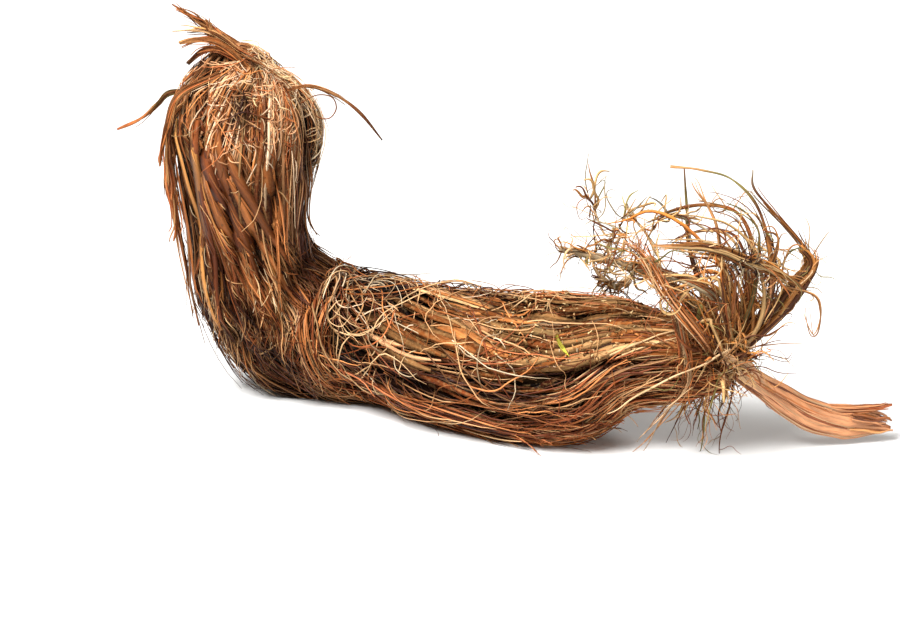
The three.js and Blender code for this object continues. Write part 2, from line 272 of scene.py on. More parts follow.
def crawl(rng, share, turn, heading, length, curl, wobble, steps, settle, fall):
    """Tracks over the coat, as shares and turns. Heading 0 is along the arm towards the crown. Curl turns a
    strand by radians a millimetre, wobble shakes its heading, most at its tip, settle is the run in
    millimetres in which it falls in with the others, and fall is how far it hangs down instead of following
    the arm."""
    pace = length / (steps - 1)
    shares, turns = [share], [turn]
    for step in range(steps - 1):
        frizz = 0.4 + 1.8 * (step / steps) ** 2
        heading = heading + curl * pace + rng.normal(0, 1, len(share)) * wobble * frizz
        if settle:
            heading = heading * np.exp(-pace / settle)
        course = heading
        if fall:
            around = np.cos(turn)[:, None] * at(FAR, share) - np.sin(turn)[:, None] * at(INNER, share)
            course = heading + fall * np.arctan2(around @ HANG, at(ALONG, share) @ HANG)
        new = np.clip(share + np.cos(course) * pace / at(PACE, share), 0.002, END_SHARE)
        turn = turn + np.sin(course) * pace / np.maximum(at(RADIUS, share), 3)
        turn = turn + lean(new) - lean(share)
        share = new
        shares.append(share)
        turns.append(turn)
    return np.stack(shares, 1), np.stack(turns, 1)


# Strands

TRIANGLE = np.array([(math.cos(a), math.sin(a)) for a in (0.5, 2.6, 4.7)])
DIAMOND = np.array([(1, 0), (0, 1), (-1, 0), (0, -1)], float)


def round_section(corners):
    angles = np.arange(corners) / corners * FULL_TURN
    return np.stack([np.cos(angles), np.sin(angles)], 1)


def ridged_section(corners, ridges, height):
    section = round_section(corners)
    return section * (1 + height * np.cos(ridges * np.arange(corners) / corners * FULL_TURN))[:, None]


def channel_section(bow, ribs=0.12, corners=9):
    """A leaf's section: hollow on its upper face, and ribbed."""
    across = np.cos(np.linspace(0, math.pi, corners))
    upper = bow * across**2 + ribs * np.cos(7 * across)
    inner = across[1:-1]
    lower = bow * inner**2 - 2 * (1 - 0.75 * inner**2) + ribs * np.cos(7 * inner)
    return np.vstack([np.stack([across, upper], 1), np.stack([inner, lower], 1)[::-1]])


def carried(points, facing):
    """Facing vectors carried along each strand without twisting."""
    along = unit(np.gradient(points, axis=1))
    rows = []
    for k in range(points.shape[1]):
        facing = unit(facing - along[:, k] * (facing * along[:, k]).sum(-1, keepdims=True))
        rows.append(facing)
    return np.stack(rows, 1)


def batch(points, facing, wide, thick, tint, section, twist=None):
    """Strands of one kind. Points are strands by steps by 3, and facing is the way their flat face
    looks."""
    if facing.ndim == 2:
        facing = carried(points, facing)
    along = unit(np.gradient(points, axis=1))
    side = unit(np.cross(along, facing))
    normal = np.cross(side, along)
    if twist is not None:
        cosine, sine = np.cos(twist)[..., None], np.sin(twist)[..., None]
        side, normal = side * cosine + normal * sine, normal * cosine - side * sine
    corner = (
        side[:, :, None, :] * (section[:, 0] * wide[..., None])[..., None]
        + normal[:, :, None, :] * (section[:, 1] * thick[..., None])[..., None]
    )
    verts = points[:, :, None, :] + corner
    steps = np.linalg.norm(np.diff(points, axis=1), axis=2)
    run = np.concatenate([np.zeros((len(points), 1)), np.cumsum(steps, 1)], 1)
    return {"verts": verts, "run": run, "wide": wide, "tint": tint}


def flat_batch(points, facing, wide, flat, tint, twist=None):
    """Strands whose thickness is a share of their width. Thin ones have four corners, and others three."""
    section = DIAMOND if flat < 0.6 else TRIANGLE
    return batch(points, facing, wide, wide * flat, tint, section, twist)


def rod(path, wide, thick, tint, section, twist=None):
    """One strand along a path."""
    points = spline(seen(path), len(wide))[None]
    return batch(points, TOWARDS_VIEWER[None], wide[None], thick[None], tint[None], section, twist)


def strand_faces(count, steps, corners):
    """Corner indices of the side faces, then of the two end caps, of each strand."""
    first = (np.arange(count) * steps * corners)[:, None, None]
    ring = (np.arange(steps - 1) * corners)[None, :, None]
    a = np.arange(corners)[None, None, :]
    b = (a + 1) % corners
    low, high = first + ring, first + ring + corners
    quads = np.stack([low + a, high + a, high + b, low + b], -1)
    start = first[:, 0] + np.arange(corners)
    end = first[:, 0] + (steps - 1) * corners + np.arange(corners)[::-1]
    return quads.reshape(-1, 4), np.vstack([start, end])


def side_uv(u, v):
    """Map places of the corners of strands' side faces, from the places across and along each strand."""
    left, right, low, high = u[:, :-1], u[:, 1:], v[:, :-1], v[:, 1:]
    u4 = np.stack([left, left, right, right], -1)[:, None]
    v4 = np.stack([low, high, high, low], -1)[:, :, None]
    return np.stack(np.broadcast_arrays(u4, v4), -1).reshape(-1, 2)


def strand_uv(count, steps, corners, cell, cells_wide, cells_high):
    """Each strand's faces in a cell of its own in a square sheet."""
    inset = 0.08
    number = cell + np.arange(count)
    column, row = number % cells_wide, number // cells_wide
    across = inset + (1 - 2 * inset) * np.arange(corners + 1) / corners
    along = inset + (1 - 2 * inset) * np.arange(steps) / (steps - 1)
    u = (column[:, None] + across[None]) / cells_wide
    v = (row[:, None] + along[None]) / cells_high
    bottom = np.stack(np.broadcast_arrays(u[:, :corners], v[:, :1]), -1)
    top = np.stack(np.broadcast_arrays(u[:, :corners][:, ::-1], v[:, -1:]), -1)
    return side_uv(u, v), np.vstack([bottom, top]).reshape(-1, 2)


def mesh_piece(name, verts, loops, starts, uv, tint, grain, material, nodes=()):
    """A finished piece of the root, made from flat arrays in millimetres."""
    verts = verts.copy()
    verts[:, 2] = np.maximum(verts[:, 2], FLOOR_CLEARANCE)
    mesh = bpy.data.meshes.new(name)
    mesh.vertices.add(len(verts))
    mesh.vertices.foreach_set("co", (verts * MM).astype(np.float32).ravel())
    mesh.loops.add(len(loops))
    mesh.loops.foreach_set("vertex_index", loops.astype(np.int32))
    mesh.polygons.add(len(starts))
    mesh.polygons.foreach_set("loop_start", starts.astype(np.int32))
    mesh.update(calc_edges=True)
    mesh.shade_smooth()
    layer = mesh.uv_layers.new(name="OFBake")
    layer.data.foreach_set("uv", uv.astype(np.float32).ravel())
    for key, kind, field, values in (
        ("tint", "FLOAT_COLOR", "color", np.column_stack([tint, np.ones(len(tint))])),
        ("grain", "FLOAT_VECTOR", "vector", grain),
    ):
        layer = mesh.attributes.new(key, kind, "POINT")
        layer.data.foreach_set(field, values.astype(np.float32).ravel())
    mesh.materials.append(material)
    piece = bpy.data.objects.new(name, mesh)
    bpy.context.scene.collection.objects.link(piece)
    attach(piece, "root")
    if nodes:
        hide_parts(*nodes)
    return piece


def strand_piece(name, batches, material, nodes=()):
    """One piece made of batches of strands."""
    total = sum(len(b["verts"]) for b in batches)
    cells_wide = max(1, int(math.ceil(math.sqrt(total * 3))))
    cells_high = int(math.ceil(total / cells_wide))
    verts, loops, sizes, uvs, colours, grains = [], [], [], [], [], []
    offset, cell = 0, 0
    for b in batches:
        count, steps, corners, _ = b["verts"].shape
        quads, caps = strand_faces(count, steps, corners)
        face_uv, cap_uv = strand_uv(count, steps, corners, cell, cells_wide, cells_high)
        around = np.arange(corners) / corners
        grain = np.stack(
            np.broadcast_arrays(
                4 * b["wide"][:, :, None] * around,
                b["run"][:, :, None],
                (cell + np.arange(count))[:, None, None] * STREAKS_APART,
            ),
            -1,
        )
        verts.append(b["verts"].reshape(-1, 3))
        colours.append(np.repeat(b["tint"].reshape(-1, 3), corners, axis=0))
        grains.append(grain.reshape(-1, 3))
        loops += [quads.ravel() + offset, caps.ravel() + offset]
        sizes += [np.full(len(quads), 4), np.full(len(caps), corners)]
        uvs += [face_uv, cap_uv]
        offset += count * steps * corners
        cell += count
    sizes = np.concatenate(sizes)
    starts = np.concatenate([[0], np.cumsum(sizes)[:-1]])
    return mesh_piece(
        name, np.concatenate(verts), np.concatenate(loops), starts, np.concatenate(uvs),
        np.concatenate(colours), np.concatenate(grains), material, nodes,
    )


def limited(tint):
    """Colours kept from growing too light, at the same hue."""
    return tint * np.minimum(1, LIGHTEST / np.maximum(tint[..., :1], 1e-6))


def weathered(tint):
    """Light strands are faded and dark ones are redder."""
    return tint * (np.maximum(tint[..., :1], 0.004) / MID_TONE) ** FADING


def tints(rng, palette, count, steps, jitter=0.32, root=0.7, tip=1.1, owner=None):
    """A colour for each strand from a palette of colours and weights, darker at its root and lighter at its
    tip. Most strands of one owner share a colour."""
    weights = np.array([weight for _, weight in palette], float)
    choice = rng.choice(len(palette), count, p=weights / weights.sum())
    if owner is not None:
        choice = np.where(rng.random(count) < 0.6, choice[owner], choice)
    base = np.array([linear(colour) for colour, _ in palette])[choice]
    shade = np.exp(rng.normal(0, jitter, (count, 1, 1)))
    along = np.linspace(root, tip, steps)[None, :, None]
    return limited(base[:, None, :] * shade * along)


def tapers(rng, half, count, steps, root=0.75, tip=0.4, uneven=0.12):
    """Half widths along strands that are widest in the middle."""
    part = np.linspace(0, 1, steps)
    shape = np.interp(part, [0, 0.2, 0.7, 1], [root, 1, 0.9, tip])
    wave = 1 + uneven * waves(rng, part, (4, 14), count)
    return spread(rng, half, (count, 1)) * shape[None] * wave


def coat_batch(
    rng, count, share, turn, length, half, palette, clumps=None, steps=13, heading=0.0, stray=0.12,
    curl=0.005, wobble=0.04, settle=None, fall=0.0, both_ways=False, lift=(0.0, 1.0), rise=(0.0, 0.5),
    tip_lift=(-0.2, 0.5), flat=1.0, tip=0.4, patchy=0.66,
):
    """A family of strands that lie on the coat, in clumps that start, head, curl and lift alike. Deep
    strands, and those in furrows and folds, are darker as painted shade."""
    loose = 0 if clumps is None else 1
    clumps = clumps or count
    owner = np.arange(count) % clumps

    def scatter(key, shape, scale=1.0):
        return loose * rng.normal(0, CLUMP_SCATTER[key] * scale, shape)

    start = spread(rng, share, clumps)[owner] + scatter("share", count)
    place = np.radians(spread(rng, turn, clumps))[owner] + scatter("turn", count)
    course = rng.normal(heading, stray, clumps)[owner] + scatter("heading", count)
    if both_ways:
        course = course + math.pi * (rng.random(count) < 0.5)
    bend = rng.normal(0, curl, clumps)[owner] + scatter("curl", count, curl)
    run = spread(rng, length, count)
    start = np.clip(start, 0.002, 0.98)
    shares, turns = crawl(rng, start, place, course, run, bend, wobble, steps, settle, fall)
    part = np.linspace(0, 1, steps)[None]
    height = spread(rng, lift, (clumps, 1))[owner] + scatter("lift", (count, 1))
    height = height + spread(rng, rise, (count, 1)) * np.sin(math.pi * part)
    height = height + spread(rng, tip_lift, (count, 1)) * part**3
    height = height - ROOT_DIP * np.exp(-9 * part)
    points, outward = on_coat(shares, turns, height)
    wide = tapers(rng, half, count, steps, tip=tip)
    tint = tints(rng, palette, count, steps, owner=owner)
    tint = tint * np.exp(rng.normal(CLUMP_TONE - patchy**2 / 2, patchy, clumps))[owner][:, None, None]
    # Painted light and shade: the coat's lighter top lightens only the high strands, while depth, furrows,
    # folds and the elbow darken them
    bleach_and_painted_light = coat_shade(shares, turns)
    bleach_and_painted_light = np.where(bleach_and_painted_light > 1, 1 + (bleach_and_painted_light - 1) * smoothstep(height / 0.8), bleach_and_painted_light)
    tint = tint * (np.interp(height, *DEPTH_LIGHT) * bleach_and_painted_light)[..., None]
    return flat_batch(points, outward, wide, flat, weathered(limited(tint)))


def along_path(path, part):
    """Middle points, sides and faces of a path at shares of its length."""
    line = spline(seen(path), PATH_ROWS)
    facing = carried(line[None], TOWARDS_VIEWER[None])[0]
    side = np.cross(unit(np.gradient(line, axis=0)), facing)
    place = part * (PATH_ROWS - 1)
    low = np.minimum(place.astype(int), PATH_ROWS - 2)
    f = (place - low)[..., None]
    return line[low] * (1 - f) + line[low + 1] * f, side[low], facing[low]


def sprays(
    rng, path, count, fan, half, palette, flat=1.0, steps=20, start=(0.0, 0.0), keep=(0.6, 1.0),
    wiggle=0.25, blunt=0.75, **shades,
):
    """Strands that follow a path from a start to an end on it, and fan out along it."""
    first = spread(rng, start, (count, 1))
    part = first + np.linspace(0, 1, steps)[None] * (spread(rng, keep, (count, 1)) - first)
    centre, side, facing = along_path(path, part)
    angle = spread(rng, (0, FULL_TURN), (count, 1))
    reach = np.sqrt(rng.random((count, 1))) * (fan[0] + (fan[1] - fan[0]) * part**1.5)
    wave = wiggle * waves(rng, part, (5, 12), count) * part
    points = centre + side * (reach * np.cos(angle) + wave)[..., None]
    points = points + facing * (reach * np.sin(angle) - 0.6 * wave)[..., None]
    wide = tapers(rng, half, count, steps, root=blunt)
    return flat_batch(points, facing, wide, flat, tints(rng, palette, count, steps, **shades))


def colour_run(colours, steps):
    """Colours at even steps from a strand's root to its tip."""
    stops = np.array([linear(colour) for colour in colours])
    place, part = np.linspace(0, 1, len(colours)), np.linspace(0, 1, steps)
    return np.stack([np.interp(part, place, stops[:, i]) for i in range(3)], -1)


def blade(rng, path, widths, half, colours, bow=0.8, twist=(0, 0), steps=48):
    """One ribbed leaf strip along a path, in colours from its root to its tip."""
    wide = np.interp(np.linspace(0, 1, steps), np.linspace(0, 1, len(widths)), widths)
    ripple = np.convolve(rng.normal(0, 1, steps + 4), np.ones(5) / 5, "valid")
    wide = wide * (1 + 0.08 * ripple)
    thick = np.minimum(half, wide * 0.6)
    turn = np.linspace(twist[0], twist[1], steps)[None]
    return rod(path, wide, thick, colour_run(colours, steps), channel_section(bow), turn)


# Materials


def fibre_material(name, roughness, streaks, bump, shine=0.12, dust=0.0):
    """Dry plant fibre: the strand's own colour, streaked along its length, with fine relief and some
    dust."""
    material = bpy.data.materials.new(name)
    material.use_nodes = True
    tree = material.node_tree
    shader = tree.nodes["Principled BSDF"]
    shader.inputs["Specular IOR Level"].default_value = shine

    def add(kind, output, inputs, **settings):
        """An output of a new node, whose inputs are values or the outputs of other nodes."""
        node = tree.nodes.new("ShaderNode" + kind)
        for key, value in settings.items():
            setattr(node, key, value)
        for key, value in inputs.items():
            if isinstance(value, bpy.types.NodeSocket):
                tree.links.new(value, node.inputs[key])
            else:
                node.inputs[key].default_value = value
        return node.outputs[output]

    tint = add("Attribute", "Color", {}, attribute_name="tint")
    grain = add("Attribute", "Vector", {}, attribute_name="grain")
    stretch = add("Mapping", "Vector", {"Vector": grain, "Scale": (1.5, 0.12, 1.0)})
    streak = add("TexNoise", "Fac", {"Vector": stretch, "Scale": 1.6, "Detail": 5, "Roughness": 0.65})
    limits = {"From Min": 0.32, "From Max": 0.68, "To Min": 1 - streaks, "To Max": 1 + streaks}
    shade = add("MapRange", "Result", {"Value": streak, **limits})
    multiply = dict(data_type="RGBA", blend_type="MULTIPLY", clamp_result=False)
    streaked = add("Mix", "Result", {"Factor": 1, "A": tint, "B": shade}, **multiply)
    place = add("TexCoord", "Object", {})
    mottle = add("TexNoise", "Fac", {"Vector": place, "Scale": 1500, "Detail": 8, "Roughness": 0.7})
    limits = {"From Min": 0.48, "From Max": 0.62, "To Max": dust}
    amount = add("MapRange", "Result", {"Value": mottle, **limits})
    sand = (*linear(SAND), 1)
    dusted = add("Mix", "Result", {"Factor": amount, "A": streaked, "B": sand}, data_type="RGBA")
    gloss = add("MapRange", "Result", {"Value": streak, "To Min": roughness[0], "To Max": roughness[1]})
    grains = add("Bump", "Normal", {"Strength": dust, "Distance": 0.0004, "Height": mottle})
    furrows = {"Strength": bump, "Distance": 0.0002, "Height": streak}
    relief = add("Bump", "Normal", {"Normal": grains, **furrows})
    for key, value in (("Base Color", dusted), ("Roughness", gloss), ("Normal", relief)):
        tree.links.new(value, shader.inputs[key])
    return material


MAT_BODY = fibre_material("matted_coat", (0.75, 0.95), 0.5, 0.9, shine=0.04)
MAT_BAND = fibre_material("sheath_band", (0.5, 0.8), 0.55, 0.8, dust=0.2)
MAT_THREAD = fibre_material("coat_thread", (0.32, 0.55), 0.35, 0.4, shine=0.18)
MAT_DUSTY = fibre_material("dusty_band", (0.7, 0.92), 0.55, 0.9, shine=0.06, dust=0.35)
MAT_ROOTLET = fibre_material("rootlet", (0.5, 0.75), 0.4, 0.5)
MAT_LEAF = fibre_material("dry_leaf", (0.35, 0.6), 0.5, 0.6, shine=0.22)
MAT_STALK = fibre_material("leaf_stalk", (0.2, 0.42), 0.4, 0.6, shine=0.45)
MAT_WOOD = fibre_material("old_stem", (0.6, 0.85), 0.5, 0.9, dust=0.3)


# The matted body under the strands


def coat_relief(share, turn):
    """Strand-like ridges of several widths, from 0 in the furrows to about 1."""
    place = turn - lean(share)
    height = 0
    for ridges, size in ((6, 0.36), (10, 0.28), (17, 0.2), (29, 0.16)):
        drift = 1.6 * np.sin(7 * share + ridges) + 0.8 * np.sin(23 * share + 2 * ridges)
        height = height + size * np.abs(np.sin(0.5 * ridges * place + drift))
    return height


def rhizome_body():
    """The dark matted body that shows between the strands, darkened as painted shade in the low parts
    between its ridges and in the fold and furrows.
    """
    rows, around = 250, 140
    share = np.linspace(0, END_SHARE, rows)[:, None] * np.ones((1, around))
    turn = np.ones((rows, 1)) * np.arange(around)[None] / around * FULL_TURN
    relief = coat_relief(share, turn)
    points, _ = on_coat(share, turn, BODY_RELIEF * (relief - 1))
    verts = np.vstack([points.reshape(-1, 3), points[0].mean(0), points[-1].mean(0)])
    verts[-2] += -1.5 * ALONG[0]
    verts[-1] += 0.5 * ALONG[-1]
    quads, _ = strand_faces(1, rows, around)
    j = np.arange(around)
    k = (j + 1) % around
    top = np.stack([np.full(around, rows * around), j, k], 1)
    last = (rows - 1) * around
    end = np.stack([np.full(around, rows * around + 1), last + k, last + j], 1)
    loops = np.concatenate([quads.ravel(), top.ravel(), end.ravel()])
    sizes = np.concatenate([np.full(len(quads), 4), np.full(2 * around, 3)])
    starts = np.concatenate([[0], np.cumsum(sizes)[:-1]])
    u = np.arange(around + 1) / around
    v = 0.02 + 0.96 * np.arange(rows) / (rows - 1)
    left, right = u[:-1], u[1:]
    middle = (left + right) / 2
    top_uv = np.stack([np.stack([middle, left, right], 1), np.tile([0.0, v[0], v[0]], (around, 1))], -1)
    end_uv = np.stack([np.stack([middle, right, left], 1), np.tile([1.0, v[-1], v[-1]], (around, 1))], -1)
    uv = np.vstack([side_uv(u[None], v[None]), top_uv.reshape(-1, 2), end_uv.reshape(-1, 2)])
    # Painted shade: the body is near black in the low parts between its ridges and darker still in the fold
    # and furrows; towards the end of the lying arm it is dusty
    low, high, dusty = linear(SOOT) * 0.25, linear(SOOT), linear(DUST)
    level = smoothstep((relief - 0.25) / 0.6)[..., None]
    woody = smoothstep((share - 0.7) / 0.12)[..., None]
    tint = low + (high + (dusty * 0.3 - high) * woody - low) * level
    tint = tint * (1 - 0.8 * crease(share, turn))[..., None]
    tint = np.vstack([tint.reshape(-1, 3), high, low])
    run = share * ARM_RUN
    grain = np.stack([turn * ARM_RADIUS, run, np.zeros_like(run)], -1).reshape(-1, 3)
    grain = np.vstack([grain, grain[:1], grain[-1:]])
    mesh_piece("rhizome_body", verts, loops, starts, uv, tint, grain, MAT_BODY, ["rhizome"])


# Families of strands on the coat, in the terms of coat_batch. Turns are in degrees: -90 faces the viewer,
# and 0 is the inner side of the bend.

ALL_ROUND = (-180, 180)
# DEEP holds the colours of the deepest strands: partly their own dark colour, and made near black as
# painted shade of the gaps under the strands above
DEEP = [(DARK, 3), (SOOT, 4), (UMBER, 1)]
DULL = [(BROWN, 4), (UMBER, 3), (RED_BROWN, 2), (PINK, 1.2)]
SHEATH = [(PINK, 4.5), (BROWN, 2.2), (ROSE, 1), (RED_BROWN, 0.4), (UMBER, 2.5), (DUST, 1.2)]
COMBED_HAIR = [(BROWN, 2.5), (RED_BROWN, 1.2), (PINK, 3), (GOLD, 1), (ROSE, 1.2), (UMBER, 2)]
WIRY = [(GOLD, 3), (RUST, 3), (AMBER, 1.2), (RED_BROWN, 2), (STRAW, 0.4)]
REDDISH = [(RED_BROWN, 4), (RUST, 2.5), (UMBER, 1.2), (GOLD, 2.2), (AMBER, 1)]
DUSTY = [(DUST, 2.5), (BROWN, 3), (UMBER, 2), (RED_BROWN, 1)]
NETTED = [(GOLD, 3), (AMBER, 2), (STRAW, 0.8), (RUST, 2), (BROWN, 1)]
STRAWY = [(AMBER, 2.5), (STRAW, 1.2), (ROSE, 2.5), (SAND, 1), (PINK, 1.5), (BROWN, 1)]
PALE_CURL = [(STRAW, 0.8), (AMBER, 3), (ROSE, 2)]
PALE_TIPS = [(AMBER, 2), (STRAW, 1.5), (GOLD, 2), (RUST, 1)]

# What the broad strips of the upright arm share, and what the bark plates of the lying arm share
BROAD = dict(steps=20, stray=0.03, curl=0.001, wobble=0.01, fall=0.5, patchy=0.3, rise=(0, 0.1),
             tip_lift=(-0.3, 0.5), half=(0.5, 1.0), flat=0.12)
PLATE = dict(stray=0.05, wobble=0.015, patchy=0.25, rise=(0, 0.1), tip_lift=(-0.6, -0.1), flat=0.1)

COMBED = [
    dict(count=130, clumps=34, steps=20, share=(0.004, 0.05), turn=(-75, 10), heading=-1.25, stray=0.2,
         length=(18, 42), curl=0.002, wobble=0.03, settle=9, fall=0.5, lift=(-0.2, 1.3), rise=(0, 0.4),
         half=(0.08, 0.34), flat=0.22, palette=SHEATH),
    dict(count=150, clumps=34, steps=20, share=(0.004, 0.06), turn=(-80, 20), heading=-1.2, stray=0.3,
         length=(10, 34), wobble=0.05, settle=9, fall=0.5, lift=(0.1, 1.4), rise=(0, 0.4),
         half=(0.05, 0.13), palette=COMBED_HAIR),
    dict(count=48, clumps=14, steps=16, share=(0.004, 0.03), turn=(-175, -100), stray=0.08, length=(24, 42),
         wobble=0.03, fall=0.5, lift=(0.0, 1.4), tip_lift=(-0.2, 1.2), half=(0.2, 0.6), flat=0.18,
         palette=SHEATH),
    dict(count=90, clumps=24, steps=16, share=(0.003, 0.03), turn=(20, 200), stray=0.15, length=(14, 34),
         wobble=0.03, fall=0.4, lift=(0.2, 1.2), half=(0.1, 0.4), flat=0.22, palette=SHEATH),
    dict(count=13, clumps=6, steps=14, share=(0.15, 0.19), turn=(-82, -45), stray=0.06, length=(14, 19),
         wobble=0.02, fall=0.6, lift=(0.7, 1.2), half=(0.5, 1.2), flat=0.12,
         palette=[(BROWN, 3), (RED_BROWN, 2), (RUST, 1)]),
]
UPPER_BANDS = [
    dict(count=150, steps=9, share=(0.01, 0.24), turn=ALL_ROUND, length=(18, 42), fall=0.7,
         lift=(-0.9, -0.2), half=(0.2, 0.6), flat=0.25, palette=DEEP),
    dict(count=120, clumps=40, share=(0.006, 0.2), turn=ALL_ROUND, length=(16, 40), fall=0.7, wobble=0.025,
         lift=(-0.1, 1.0), half=(0.16, 0.55), flat=0.22, palette=DULL),
    dict(count=140, steps=9, share=(0.22, 0.5), turn=ALL_ROUND, length=(10, 24), fall=0.3,
         lift=(-0.9, -0.1), half=(0.2, 0.5), flat=0.3, palette=DEEP),
]
UPPER_THREADS = [
    dict(count=500, clumps=58, share=(0.008, 0.26), turn=ALL_ROUND, length=(14, 40), fall=0.7, stray=0.07,
         wobble=0.022, lift=(-0.2, 1.2), tip_lift=(-0.2, 0.9), half=(0.07, 0.17), palette=COMBED_HAIR),
    dict(count=400, clumps=46, steps=18, share=(0.14, 0.33), turn=(-175, -15), length=(14, 30), fall=0.85,
         stray=0.08, curl=0.006, wobble=0.026, lift=(-0.3, 1.7), tip_lift=(-0.3, 2.4), half=(0.08, 0.2),
         palette=[(BROWN, 3), (LEAF_BROWN, 2.5), (GOLD, 1.5), (PINK, 1.5), (UMBER, 2.5), (RUST, 1)]),
    dict(count=340, clumps=54, share=(0.2, 0.46), turn=(-15, 185), length=(9, 24), fall=0.3, curl=0.012,
         wobble=0.07, lift=(-0.1, 1.2), tip_lift=(-0.3, 1.0), half=(0.07, 0.17), palette=WIRY + DULL),
    dict(count=110, clumps=32, share=(0.11, 0.24), turn=(-155, -30), length=(16, 30), fall=0.8, stray=0.05,
         wobble=0.018, lift=(1.0, 1.5), rise=(0, 0.2), half=(0.06, 0.15),
         palette=[(GOLD, 2), (RUST, 1.5), (PINK, 2), (ROSE, 1), (BROWN, 1.5)]),
    dict(count=70, clumps=18, steps=16, share=(0.27, 0.36), turn=(-150, -50), length=(4, 9), fall=0.9,
         curl=0.05, wobble=0.1, lift=(0.8, 1.5), tip_lift=(0.5, 2.6), half=(0.06, 0.13), palette=NETTED),
    dict(count=130, clumps=30, steps=14, share=(0.32, 0.39), turn=(-160, -70), stray=0.2, length=(4, 9),
         fall=0.9, curl=0.04, wobble=0.14, lift=(1.0, 1.7), tip_lift=(0.3, 2.4), half=(0.05, 0.11),
         palette=PALE_TIPS),
    dict(count=170, clumps=30, steps=20, share=(0.07, 0.2), turn=(-170, -95), heading=0.22, stray=0.04,
         length=(22, 40), curl=0.002, wobble=0.012, fall=0.5, lift=(0.1, 1.5), rise=(0, 0.2),
         tip_lift=(0, 1.4), half=(0.08, 0.28), flat=0.35,
         palette=[(UMBER, 3), (BROWN, 4), (RED_BROWN, 2), (PINK, 1.5), (GOLD, 0.8)]),
    dict(BROAD, count=8, clumps=8, share=(0.09, 0.14), turn=(-168, -118), heading=0.05, length=(24, 36),
         lift=(1.5, 2.0), palette=[(UMBER, 3), (LEAF_BROWN, 2), (BROWN, 2)]),
    dict(BROAD, count=7, clumps=7, share=(0.1, 0.16), turn=(-135, -100), heading=0.2, length=(22, 34),
         lift=(1.4, 1.9), palette=[(UMBER, 3), (BROWN, 2), (LEAF_BROWN, 1)]),
]
NET = [
    dict(count=520, clumps=100, steps=15, share=(0.4, 0.72), turn=ALL_ROUND, stray=0.25, length=(10, 30),
         curl=0.025, wobble=0.09, lift=(-0.2, 1.0), rise=(0, 0.8), tip_lift=(-0.3, 0.9), half=(0.07, 0.16),
         palette=WIRY + DULL),
    dict(count=280, steps=16, share=(0.42, 0.74), turn=ALL_ROUND, stray=0.6, length=(6, 20), curl=0.08,
         wobble=0.18, lift=(0.1, 1.3), rise=(0.1, 1.2), tip_lift=(-0.4, 1.2), half=(0.06, 0.14),
         palette=NETTED, both_ways=True),
    dict(count=210, clumps=70, steps=14, share=(0.4, 0.52), turn=ALL_ROUND, stray=0.4, length=(6, 20),
         curl=0.04, wobble=0.12, fall=0.7, lift=(0.0, 1.4), rise=(0.1, 1.2), tip_lift=(-0.4, 1.4),
         half=(0.07, 0.18), palette=WIRY, patchy=0.8),
    dict(count=46, steps=16, share=(0.48, 0.56), turn=(-55, 0), stray=1.2, length=(4, 10), curl=0.22,
         wobble=0.12, lift=(0.7, 1.6), rise=(0.1, 1.0), half=(0.06, 0.14), palette=PALE_CURL,
         both_ways=True),
    dict(count=26, steps=18, share=(0.52, 0.72), turn=(-75, -5), stray=1.5, length=(3, 8), curl=0.35,
         wobble=0.2, lift=(0.4, 1.1), rise=(0.1, 0.8), half=(0.06, 0.12), palette=PALE_CURL,
         both_ways=True),
    dict(count=260, steps=11, share=(0.06, 0.15), turn=(-118, -50), stray=2.5, length=(1.5, 4.5), curl=0.25,
         wobble=0.25, lift=(0.2, 1.9), rise=(0, 0.8), half=(0.05, 0.13), flat=0.5,
         palette=[(PINK, 4), (ROSE, 1.5), (UMBER, 3), (SAND, 1)]),
    dict(count=330, steps=14, share=(0.02, 0.2), turn=(-75, 55), stray=1.1, length=(4, 13), curl=0.1,
         wobble=0.25, lift=(0.2, 1.4), rise=(0.0, 0.8), tip_lift=(-0.4, 0.9), half=(0.05, 0.14),
         palette=STRAWY, both_ways=True),
]
LOWER_BANDS = [
    dict(count=140, steps=9, share=(0.42, 0.72), turn=ALL_ROUND, length=(10, 24), lift=(-0.9, -0.1),
         half=(0.2, 0.5), flat=0.3, palette=DEEP),
    dict(count=220, clumps=76, share=(0.62, 0.92), turn=ALL_ROUND, length=(9, 26), lift=(-0.6, 0.6),
         rise=(0, 0.3), patchy=0.4, half=(0.2, 0.7), flat=0.2, palette=DUSTY),
    dict(count=40, clumps=12, share=(0.56, 0.72), turn=(-65, 10), stray=0.12, length=(8, 18),
         lift=(0.3, 0.8), half=(0.3, 0.9), flat=0.15, palette=[(DUST, 3), (BROWN, 2), (PINK, 1)]),
    dict(count=90, clumps=26, share=(0.75, 0.88), turn=(-80, 0), stray=0.08, length=(8, 20), wobble=0.03,
         patchy=0.3, lift=(0.4, 0.9), rise=(0, 0.2), tip_lift=(-0.5, 0.2), half=(0.2, 0.9), flat=0.14,
         palette=[(DUST, 4), (BROWN, 4), (UMBER, 1)]),
    dict(count=900, steps=4, share=(0.71, 0.9), turn=(-75, 15), stray=2.0, length=(0.3, 0.9), wobble=0.3,
         lift=(0.4, 1.2), rise=(0, 0.1), half=(0.07, 0.2),
         palette=[(SAND, 3), (DUST, 3), (BROWN, 2), (UMBER, 2), (STRAW, 0.5)]),
    dict(PLATE, count=9, share=(0.73, 0.8), turn=(-64, -12), length=(12, 18), lift=(0.7, 0.95),
         half=(0.8, 1.8), palette=[(DUST, 4), (BROWN, 2), (SAND, 1)]),
    dict(PLATE, count=8, share=(0.59, 0.67), turn=(-52, -8), length=(9, 15), lift=(0.6, 0.9),
         half=(0.6, 1.4), palette=[(PINK, 2), (BROWN, 3), (DUST, 2)]),
]
